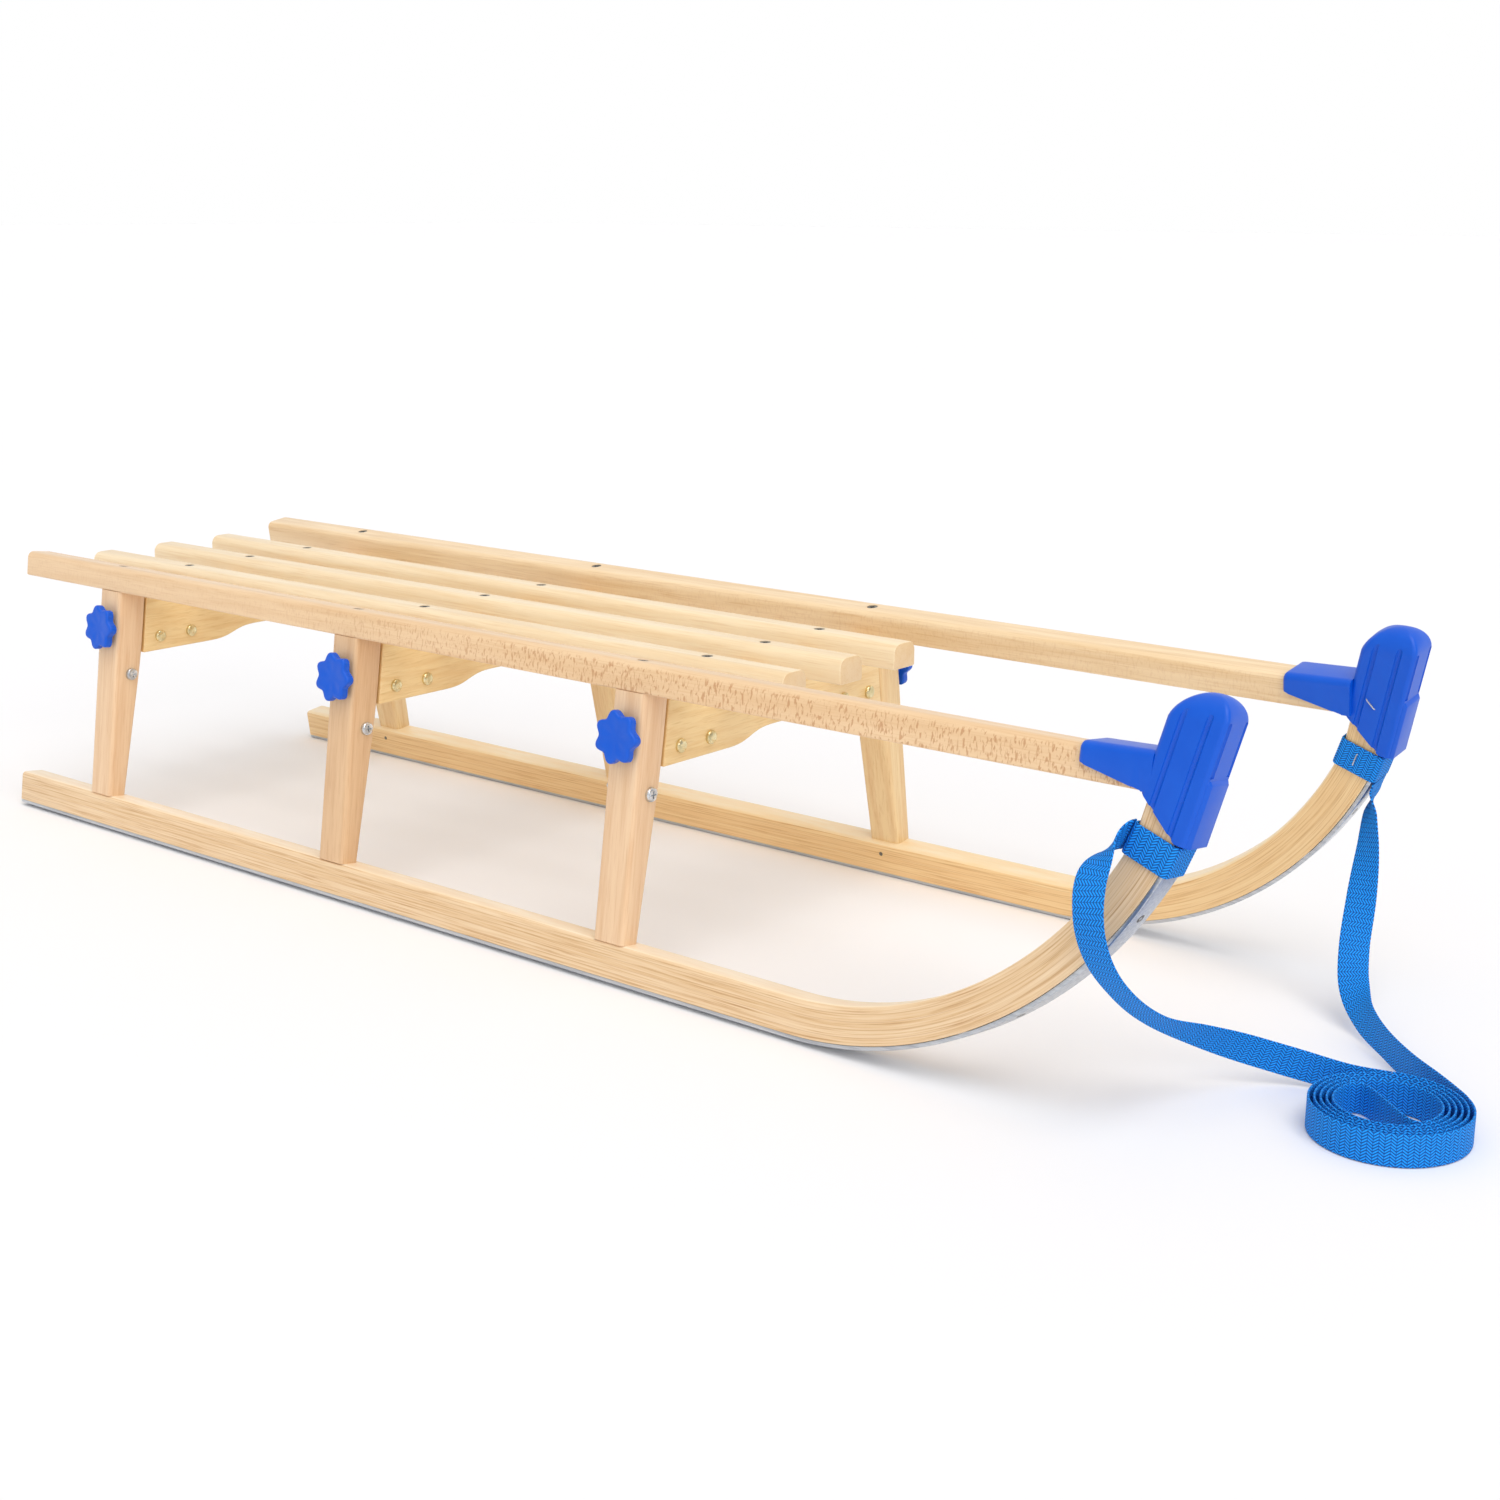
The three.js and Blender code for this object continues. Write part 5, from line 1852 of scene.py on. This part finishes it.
@dataclass
class StrapLoop:
    """The band of webbing round a runner's tip, in a frame square to the runner."""

    ease: float = 0.8
    corner: float = 3.2
    corner_steps: int = 8
    drop: float = 16.47
    # Half the gap between the band's two ends
    end_gap: float = 0.05

    @property
    def matrix(self) -> Matrix:
        """The matrix from the band's axes: out of the wood, w, and along the curve.

        Returns:
            The matrix.
        """
        angle = CURVE.tip_angle - self.drop / (CURVE.tip_radius + CURVE.wood_base)
        x, h = CURVE.at(angle, RUNNER.thickness / 2)
        return Matrix.Translation((x, 0, h)) @ Matrix.Rotation(math.pi / 2 - angle, 4, "Y")

    @property
    def staple_matrix(self) -> Matrix:
        """The matrix from a staple's axes to its place on the band's inner side."""
        return self.matrix @ Matrix.Translation((0, -RUNNER.width - self.ease - TAPE.thickness, 0))

    def shape(self) -> Shape:
        """The band, which starts and ends behind the runner.

        Returns:
            The band.
        """
        half, reach = TAPE.thickness / 2, RUNNER.thickness / 2
        outline = Outline(
            -reach - self.ease - half, reach + CURVE.wood_base + self.ease + half,
            -RUNNER.width - self.ease - half, self.ease + half, self.corner, self.corner,
        ).points(steps=self.corner_steps)
        # The ends meet in the middle of the rear side, so the points start with the corner after it
        first = 3 * (self.corner_steps + 1)
        middle = sum(w for _, w in outline) / len(outline)
        rear = outline[first][0]
        ends = (rear, middle - self.end_gap), (rear, middle + self.end_gap)
        line = [ends[0], *outline[first:], *outline[:first], ends[1]]
        points = [self.matrix @ Vector((x, w, 0)) for x, w in line]
        across = (self.matrix.to_3x3() @ Vector((0, 0, 1))).normalized()
        return TAPE.along(points, [across] * len(points))


def wire_staple(crown: float = 10.0, leg: float = 7.0, wire: float = 0.55, corner: float = 1.2) -> Shape:
    """A wire staple with its crown along Z and its legs towards +Y.

    Args:
        crown: The crown's length.
        leg: The legs' length.
        wire: The wire's radius.
        corner: The radius of its two bends.

    Returns:
        The staple.
    """
    reach = crown / 2 - wire
    line = [Vector((0, leg, -reach))]
    for side in (-1, 1):
        bend = []
        for a in quarter(5):
            depth, height = corner - corner * math.sin(a) - wire, reach - corner + corner * math.cos(a)
            bend.append(Vector((0, depth, side * height)))
        line += bend if side < 0 else reversed(bend)
    line.append(Vector((0, leg, reach)))
    aside = Vector((1, 0, 0))
    angles = [math.tau * j / 8 for j in range(8)]
    rings = []
    for k, point in enumerate(line):
        ahead = (line[min(k + 1, len(line) - 1)] - line[max(k - 1, 0)]).normalized()
        normal = ahead.cross(aside)
        rings.append([point + aside * wire * math.cos(a) + normal * wire * math.sin(a) for a in angles])
    return lofted(rings)


@dataclass
class StarKnob:
    """A moulded star knob and its screw, drawn about Z with the leg's outer face at z = 0."""

    lobes: int = 7
    radius: float = 19.0
    lobe_height: float = 1.9
    seat: float = 1.5
    skirt_radius: float = 11.0
    low: float = 4.4
    high: float = 11.0
    edge: float = 1.8
    under_share: float = 0.6
    dish: float = 0.9
    dish_rim: float = 0.8
    dish_slope: float = 0.5
    dish_shares: tuple[float, ...] = (0.72, 0.5, 0.3, 0.12, 0.01)
    chamfer: float = 0.5
    washer_radius: float = 8.0
    stud_radius: float = 3.0
    stud_end: float = -31.8
    stud_point: float = 0.6
    stud_hold: float = 5.0

    def ring(self, inset: float, height: float, share: float = 1.0) -> list[Vector]:
        """One lobed ring.

        Args:
            inset: How far it is drawn in.
            height: Its height.
            share: Its size as a share of the whole star.

        Returns:
            The ring's points.
        """
        count = self.lobes * 16
        points = []
        for k in range(count):
            angle = k / count * math.tau
            wave = self.lobe_height * math.cos(self.lobes * angle) * share
            reach = (self.radius - self.lobe_height) * share + wave - inset
            points.append(Vector((reach * math.cos(angle), reach * math.sin(angle), height)))
        return points

    def head(self) -> Shape:
        """The star, its dished face and the skirt under it.

        Returns:
            The knob's head.
        """
        edge, under = self.edge, self.edge * self.under_share
        waves = [(1 - math.sin(a), 1 - math.cos(a)) for a in quarter(4)]
        rings = [self.ring(under * out, self.low + under * up) for out, up in waves]
        rings += [self.ring(edge * up, self.high - edge * out) for out, up in waves]
        for share in self.dish_shares:
            sink = self.dish * min((self.dish_rim - share) / self.dish_slope, 1.0)
            rings.append(self.ring(0.0, self.high - sink, share))
        radius, low = self.skirt_radius, self.seat
        skirt = [(radius - self.chamfer, low), (radius, low + self.chamfer), (radius, self.low + 1)]
        return lofted(rings).add(turned(skirt, segments=40))

    def screw(self) -> Shape:
        """The stud with its washer.

        Returns:
            The knob's screw.
        """
        radius, wide, point = self.stud_radius, self.washer_radius, self.stud_end + self.stud_point
        stud = [(radius - self.chamfer, self.stud_end), (radius, point), (radius, self.seat + self.stud_hold)]
        washer = [(radius, 0.0), (wide, 0.0), (wide, self.seat), (radius, self.seat)]
        return turned(stud, segments=24).add(turned(washer, segments=36))


@dataclass
class SideFrame:
    """One side of the sledge: its runner, shoe, legs, outer slat, cap, knobs and small fittings."""

    side: Side
    finishes: Finishes
    cap_shape: Shape
    slat_short: float = 25.5

    @property
    def matrix(self) -> Matrix:
        """The matrix from the frame's plane to the sledge's own axes."""
        return SidePlane(self.side).matrix

    def add(
        self, name: str, shape: Shape, finish: bpy.types.Material, slot: str, *nodes: str
    ) -> bpy.types.Object:
        """Makes a piece of the frame.

        Args:
            name: The piece's name, without its side.
            shape: Its shape in the frame's plane.
            finish: Its material.
            slot: Passed on to set_on, which does not use it.
            nodes: The CAD nodes that it stands for, without their side.

        Returns:
            The piece.
        """
        piece = make_piece(f"{name}_{self.side.word}", shape.moved(self.matrix), finish)
        set_on(piece, self.side.body, slot, *(f"{node}_{self.side.word}" for node in nodes))
        return piece

    def add_runner(self) -> None:
        """Adds the bent runner, its steel shoe and the shoe's screws."""
        shift = 0.0 if self.side is Side.RIGHT else RUNNER.left_shift
        wood = Outline(
            -RUNNER.width, 0.0, 0.0, RUNNER.thickness, RUNNER.upper_corner, RUNNER.lower_corner
        )
        runner = drawn(wood, CURVE.stations(CURVE.tip_length), RUNNER.end_ease, shift)
        self.add("bent_runner", runner, self.finishes.runners[self.side], "laminated_beech", "runner")
        strip = Outline(
            -RUNNER.width + RUNNER.shoe_inset, -RUNNER.shoe_inset, -CURVE.wood_base, -GAP,
            RUNNER.shoe_upper_corner, RUNNER.shoe_lower_corner,
        )
        shoe = drawn(strip, CURVE.stations(RUNNER.shoe_rise), RUNNER.shoe_end_ease)
        self.add("drawn_shoe", shoe, self.finishes.shoe, "steel", "shoe")
        middle, stand = -RUNNER.width / 2, FASTENERS.shoe_head_stand
        places = []
        for share in RUNNER.flat_screws:
            x = CURVE.rear_x + (CURVE.bend_x - CURVE.rear_x) * share
            places.append(axes((1, 0, 0), (0, 1, 0), (0, 0, -1), (x, middle, -stand)))
        for share in RUNNER.bend_screws:
            angle = CURVE.bend_angle * share
            places.append(CURVE.outwards(angle, -CURVE.wood_base - stand, middle))
        screws = copies(FASTENERS.countersunk(FASTENERS.shoe_head_radius), places)
        self.add("shoe_screws", screws, self.finishes.dark, "steel")

    def leg(self, x: float) -> Shape:
        """A leg whose inner face tapers towards the foot.

        Args:
            x: The x of its front face.

        Returns:
            The leg.
        """
        foot, middle, top = LEG.foot - GAP, LEG.top - LEG.taper_drop, LEG.top + GAP
        slope = (LEG.width - LEG.foot_width) / (middle - LEG.foot)
        ease = LEG.taper_ease
        above_foot = LEG.foot + 40
        heights = [foot, above_foot, middle - ease, middle - ease / 2, middle, middle + ease, top]
        rings = []
        for h in heights:
            width = LEG.width
            if h < middle + ease:
                share = min((middle + ease - h) / (2 * ease), 1.0)
                width -= slope * ease * share**2 + slope * max(middle - ease - h, 0.0)
            outline = Outline(x - LEG.depth, x, -width, 0.0, LEG.corner, LEG.corner)
            rings.append([Vector((px, w, h)) for px, w in outline.points()])
        return lofted(rings)

    def add_legs(self) -> None:
        """Adds the legs and the pins that hold their tenons in the runner."""
        places = []
        for crossing in Crossing:
            name = f"leg_{crossing.word}"
            finish = self.finishes.legs[self.side, crossing]
            self.add(f"planed_{name}", self.leg(crossing.value), finish, "beech", name)
            place = (crossing.centre, -RUNNER.width, LEG.pin_height)
            places.append(axes((1, 0, 0), (0, 0, 1), (0, -1, 0), place))
        self.add("foot_pins", copies(FASTENERS.pin_end(), places), self.finishes.dark, "steel")

    def add_slat(self) -> None:
        """Adds the outer slat with its sunk screws."""
        tip_x, _ = CURVE.at(CURVE.tip_angle, 0.0)
        outline = Outline(-SLAT.width, 0.0, SLAT.base, SLAT.top, SLAT.corner, SLAT.corner / 4)
        bar = drawn(outline, straight(SLAT.rear, tip_x - self.slat_short), SLAT.end_ease)
        places = [Matrix.Translation((c.centre, SLAT.screw_w, SLAT.top)) for c in Crossing]
        slat, screws = FASTENERS.sunk_into(bar, places)
        self.add("planed_outer_slat", slat, self.finishes.outer_slats[self.side], "beech", "outer_slat")
        self.add("outer_slat_screws", screws, self.finishes.dark, "steel")

    def add_front(self) -> None:
        """Adds the cap, the strap's loop and the two staples."""
        self.add("moulded_cap", self.cap_shape, self.finishes.plastic, "plastic", "cap")
        loop = StrapLoop()
        shape = loop.shape()
        band = self.add("woven_strap_loop", shape, self.finishes.webbing, "webbing", "strap_loop")
        f"bent_runner_{self.side.word}"
        for word, place in (("loop", loop.staple_matrix), ("cap", FrontCap().staple_matrix)):
            staple = wire_staple().moved(place)
            self.add(f"wire_staple_{word}", staple, self.finishes.bright, "steel", f"staple_{word}")

    def add_knobs(self) -> None:
        """Adds the star knobs with their screws, each riding on its own turning body."""
        knob = StarKnob()
        head, screw = knob.head(), knob.screw()
        for crossing in Crossing:
            place = f"{crossing.word}_{self.side.word}"
            foot = (crossing.centre, 0.0, LEG.knob_height)
            onto = self.matrix @ axes((1, 0, 0), (0, 0, -1), (0, 1, 0), foot)
            star = make_piece(f"star_knob_{place}", head.moved(onto), self.finishes.plastic, crease=40)
            set_on(star, f"knob_body_{place}", "plastic", f"knob_{place}")
            stud = make_piece(f"knob_stud_{place}", screw.moved(onto), self.finishes.bright)
            set_on(stud, f"knob_body_{place}", "steel", f"knob_screw_{place}")

    def build(self) -> None:
        """Builds the side frame."""
        self.add_runner()
        self.add_legs()
        self.add_slat()
        self.add_front()
        self.add_knobs()


# Seat


@dataclass
class Seat:
    """The three inner slats, the boards under them and the fittings that carry the side frames."""

    finishes: Finishes
    pitch: float = 65.0
    width: float = 26.0
    top: float = 215.0
    thickness: float = 19.0
    front: float = 655.0
    corner: float = 7.5
    end_ease: float = 0.7
    board_top: float = 195.7
    end_depth: float = 47.0
    middle_depth: float = 38.4
    shoulder: float = 56.0
    crown: float = 8.0
    board_edge: float = 1.5
    plate_thickness: float = 3.0
    plate_width: float = 18.0
    plate_gap: float = 0.05
    plate_ease: float = 0.35
    bolt_height: float = 161.0
    bolt_end: float = 15.7
    bolt_pitch: float = 32.0
    pivot_w: float = -15.0
    pivot_h: float = 133.0

    @property
    def plate_rear(self) -> float:
        """How far behind a board's front face its brackets end."""
        return -LEG.depth - GAP - self.plate_thickness

    @property
    def end_w(self) -> float:
        """Where the boards end, in the side frames' plane."""
        return -LEG.width - LEG.board_gap

    def add(self, name: str, shape: Shape, finish: bpy.types.Material, slot: str, *nodes: str) -> None:
        """Makes a piece of the seat."""
        set_on(make_piece(name, shape, finish), "seat", slot, *nodes)

    def add_slats(self) -> None:
        """Adds the slats and the nine screws in them."""
        rows = {"slat_inner_right": -self.pitch, "slat_centre": 0.0, "slat_inner_left": self.pitch}
        for name, y in rows.items():
            outline = Outline(
                y - self.width / 2, y + self.width / 2, self.top - self.thickness, self.top,
                self.corner, self.corner / 4,
            )
            bar = drawn(outline, straight(SLAT.rear, self.front), self.end_ease)
            places = [Matrix.Translation((c.centre, y, self.top)) for c in Crossing]
            slat, screws = FASTENERS.sunk_into(bar, places)
            self.add(f"planed_{name}", slat, self.finishes.seat_slat, "beech", name)
            self.add(f"screws_of_{name}", screws, self.finishes.dark, "steel")

    def board(self) -> Shape:
        """A board with its arched lower edge and leaning ends.

        Returns:
            The board, with its front face at x = 0.
        """
        plane = SidePlane(Side.LEFT)
        low, crown = self.board_top - self.end_depth, self.board_top - self.middle_depth
        top_y, low_y = plane.y_at(self.end_w, self.board_top), plane.y_at(self.end_w, low)
        steps = 12
        ease = (self.shoulder - self.crown) / 2
        arch = []
        for k in range(steps + 1):
            t = k / steps
            rise = t * t * (3 - 2 * t)
            y = self.shoulder - (self.shoulder - self.crown) * rise - 3 * ease * t * (1 - t) * (1 - 2 * t)
            arch.append((y, low + (crown - low) * rise))
        half = [(top_y, self.board_top), (low_y, low), *arch]
        outline = [*half, *((-y, z) for y, z in reversed(half))]
        plank = prism(outline, -LEG.depth, 0.0).moved(FORWARDS)
        return eased(plank, self.board_edge, angle=40, segments=3)

    def strip(self, start: tuple[float, float], end: tuple[float, float]) -> Shape:
        """A flat strip with round ends, behind a board.

        Args:
            start: The middle of its first end, in (y, z).
            end: The middle of its other end.

        Returns:
            The strip.
        """
        radius = self.plate_width / 2
        along = math.atan2(end[1] - start[1], end[0] - start[0])
        outline = []
        for (y, z), first in ((end, along - math.pi / 2), (start, along + math.pi / 2)):
            angles = [first + math.pi * k / 14 for k in range(15)]
            outline += [(y + radius * math.cos(a), z + radius * math.sin(a)) for a in angles]
        return prism(outline, self.plate_rear, -LEG.depth - self.plate_gap).moved(FORWARDS)

    def bolt(self, head: Shape, place: Matrix, y: float, z: float) -> Shape:
        """A bolt's head on a board's front face, and its nut behind the bracket.

        Args:
            head: The bolt's head.
            place: Where the board's front face is.
            y: The bolt's y.
            z: The bolt's height.

        Returns:
            The head and the nut.
        """
        behind = place @ axes(*BACKWARD_AXIS, (self.plate_rear, y, z))
        return head.moved(place @ axes(*FORWARD_AXIS, (0.0, y, z))).add(FASTENERS.nut(), behind)

    def add_crossing(self, crossing: Crossing, board: Shape, plate: Shape) -> None:
        """Adds one board with the brackets and bolts at both its ends.

        Args:
            crossing: Which board it is.
            board: The board's shape at x = 0.
            plate: The left bracket's shape at x = 0.
        """
        shift = Matrix.Translation((crossing.value, 0, 0))
        name = f"{crossing.word}_board"
        self.add(f"arched_{name}", board.moved(shift), self.finishes.board, "plywood", name)
        bolts, pivot = self.bolt_places()
        round_head = FASTENERS.domed_head(FASTENERS.bolt_radius, FASTENERS.bolt_flat)
        for side in Side:
            place = f"{crossing.word}_{side.word}"
            flat = plate.moved(shift @ Matrix.Diagonal((1, side.value, 1, 1)))
            self.add(f"bracket_plate_{place}", flat, self.finishes.yellow, "zinc", f"bracket_{place}")
            clamps = Shape()
            for y, z in bolts:
                clamps.add(self.bolt(round_head, shift, side.value * y, z))
            self.add(f"board_bolts_{place}", clamps, self.finishes.yellow, "zinc")
            y, z = side.value * pivot[0], pivot[1]
            hinge = self.bolt(FASTENERS.pan_head(FASTENERS.pivot_radius), shift, y, z)
            ends = [(FASTENERS.shaft_radius, x) for x in (self.plate_rear, 0.0)]
            hinge.add(turned(ends, segments=20), shift @ Matrix.Translation((0.0, y, z)) @ FORWARDS)
            name = f"pivot_bolt_and_nut_{place}"
            self.add(name, hinge, self.finishes.bright, "steel", f"pivot_bolt_{place}")

    def bolt_places(self) -> tuple[list[tuple[float, float]], tuple[float, float]]:
        """Where the bolts of a board's left end are, in (y, z).

        Returns:
            The places of the board's two bolts, and that of the pivot bolt.
        """
        plane = SidePlane(Side.LEFT)
        outer = plane.y_at(self.end_w, self.bolt_height) - self.bolt_end
        pivot = plane.matrix @ Vector((0, self.pivot_w, self.pivot_h))
        return [(outer - self.bolt_pitch, self.bolt_height), (outer, self.bolt_height)], (pivot.y, pivot.z)

    def build(self) -> None:
        """Builds the seat."""
        self.add_slats()
        (inner, outer), pivot = self.bolt_places()
        joined = carved(self.strip(inner, outer), (Carving.JOIN, self.strip(outer, pivot)))
        plate, board = eased(joined, self.plate_ease, angle=50), self.board()
        for crossing in Crossing:
            self.add_crossing(crossing, board, plate)
            for side in Side:
                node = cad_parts[f"insert_nut_{crossing.word}_{side.word}"]
                node.data.materials.clear()
                node.data.materials.append(self.finishes.yellow)


# Studio


@dataclass(frozen=True)
class Lamp:
    """A distant soft lamp: where it shines from, its strength and its spread in degrees."""

    name: str
    direction: tuple[float, float, float]
    strength: float
    spread: float


@dataclass
class Studio:
    """The lens, the soft light and the pale floor."""

    eye: tuple[float, float, float] = (1530.5, -1191.2, 523.7)
    azimuth: float = math.radians(39.07)
    elevation: float = math.radians(14.33)
    roll: float = math.radians(0.34)
    lens: float = 51.396
    sensor: float = 36.0
    lamps: tuple[Lamp, ...] = (
        Lamp("lamp_above", (0.35, -0.25, 1.0), 1.25, 45),
        Lamp("lamp_front", (1.0, -0.5, 0.5), 0.45, 25),
        Lamp("lamp_right", (0.3, -1.0, 0.4), 0.3, 60),
    )
    even_light: float = 0.6
    far_side: tuple[float, float, float] = (-0.62, 0.78, 0.0)
    near_backdrop: float = 0.4
    floor_reach: float = 40.0
    floor_colour: str = "#fbfafb"

    def place_camera(self) -> None:
        """Sets the camera where the photograph was taken from."""
        a, e, r = self.azimuth, self.elevation, self.roll
        ahead = Vector((-math.sin(a) * math.cos(e), math.cos(a) * math.cos(e), -math.sin(e)))
        level = Vector((math.cos(a), math.sin(a), 0))
        upwards = level.cross(ahead)
        right = level * math.cos(r) + upwards * math.sin(r)
        top = upwards * math.cos(r) - level * math.sin(r)
        data = bpy.data.cameras.new("camera")
        data.lens, data.sensor_width, data.sensor_fit = self.lens, self.sensor, "AUTO"
        data.clip_start, data.clip_end = 0.01, 80
        camera = linked("camera", data)
        eye = Vector((ORIGIN_X + self.eye[0] * MM, self.eye[1] * MM, self.eye[2] * MM))
        turn = Matrix((right, top, -ahead)).transposed().to_4x4()
        camera.matrix_world = Matrix.Translation(eye) @ turn
        bpy.context.scene.camera = camera

    def light(self) -> None:
        """Hangs the lamps and sets the world's even light."""
        for lamp in self.lamps:
            data = bpy.data.lights.new(lamp.name, "SUN")
            data.energy, data.angle = lamp.strength, math.radians(lamp.spread)
            turn = (-Vector(lamp.direction)).to_track_quat("-Z", "Y")
            linked(lamp.name, data).rotation_euler = turn.to_euler()
        world = bpy.data.worlds.new("studio")
        bpy.context.scene.world = world
        world.use_nodes = True
        tree = world.node_tree
        tree.nodes.clear()
        ray = add_node(tree, "LightPath")
        # Reflections see a white backdrop on the far side and a dimmer room on the near side
        way = add_node(tree, "TexCoord")
        side = add_node(
            tree, "VectorMath", {"operation": "DOT_PRODUCT", 1: self.far_side},
            {0: way.outputs["Generated"]},
        )
        backdrop = add_node(
            tree, "MapRange",
            {
                "interpolation_type": "SMOOTHSTEP", "From Min": -0.3, "From Max": 0.3,
                "To Min": self.near_backdrop, "To Max": 1.0,
            },
            {"Value": side.outputs["Value"]},
        )
        even = add_node(tree, "Background", {"Color": (1, 1, 1, 1), "Strength": self.even_light})
        mirrored = add_node(tree, "Background", {"Color": (1, 1, 1, 1)}, {"Strength": backdrop})
        white = add_node(tree, "Background", {"Color": (1, 1, 1, 1), "Strength": 1.0})
        room = add_node(tree, "MixShader", None, {0: ray.outputs["Is Glossy Ray"], 1: even, 2: mirrored})
        mix = add_node(tree, "MixShader", None, {0: ray.outputs["Is Camera Ray"], 1: room, 2: white})
        add_node(tree, "OutputWorld", None, {"Surface": mix})

    def lay_floor(self) -> None:
        """Lays the pale floor."""
        mesh = bpy.data.meshes.new("floor")
        half = self.floor_reach
        corners = [(-half, -half, 0), (half, -half, 0), (half, half, 0), (-half, half, 0)]
        mesh.from_pydata(corners, [], [(0, 1, 2, 3)])
        material, tree = blank_material("painted_floor")
        shader = add_node(
            tree, "BsdfPrincipled",
            {"Base Color": linear(self.floor_colour), "Roughness": 0.9, "Specular IOR Level": 0.1},
        )
        close_material(tree, shader)
        mesh.materials.append(material)
        floor = linked("floor", mesh)

    def build(self) -> None:
        """Sets up the camera, lamps, floor and view."""
        self.place_camera()
        self.light()
        self.lay_floor()
        bpy.context.scene.view_settings.view_transform = "Standard"


def main() -> None:
    """Builds the studio, the seat, the side frames and the strap."""
    logging.basicConfig(level=logging.INFO, format="%(name)s: %(message)s")
    Studio().build()
    finishes = Finishes()
    Seat(finishes).build()
    cap_shape = FrontCap().shape()
    for side in Side:
        SideFrame(side, finishes, cap_shape).build()
    PullStrap().build(finishes.webbing)


if __name__ == "__main__":
    main()
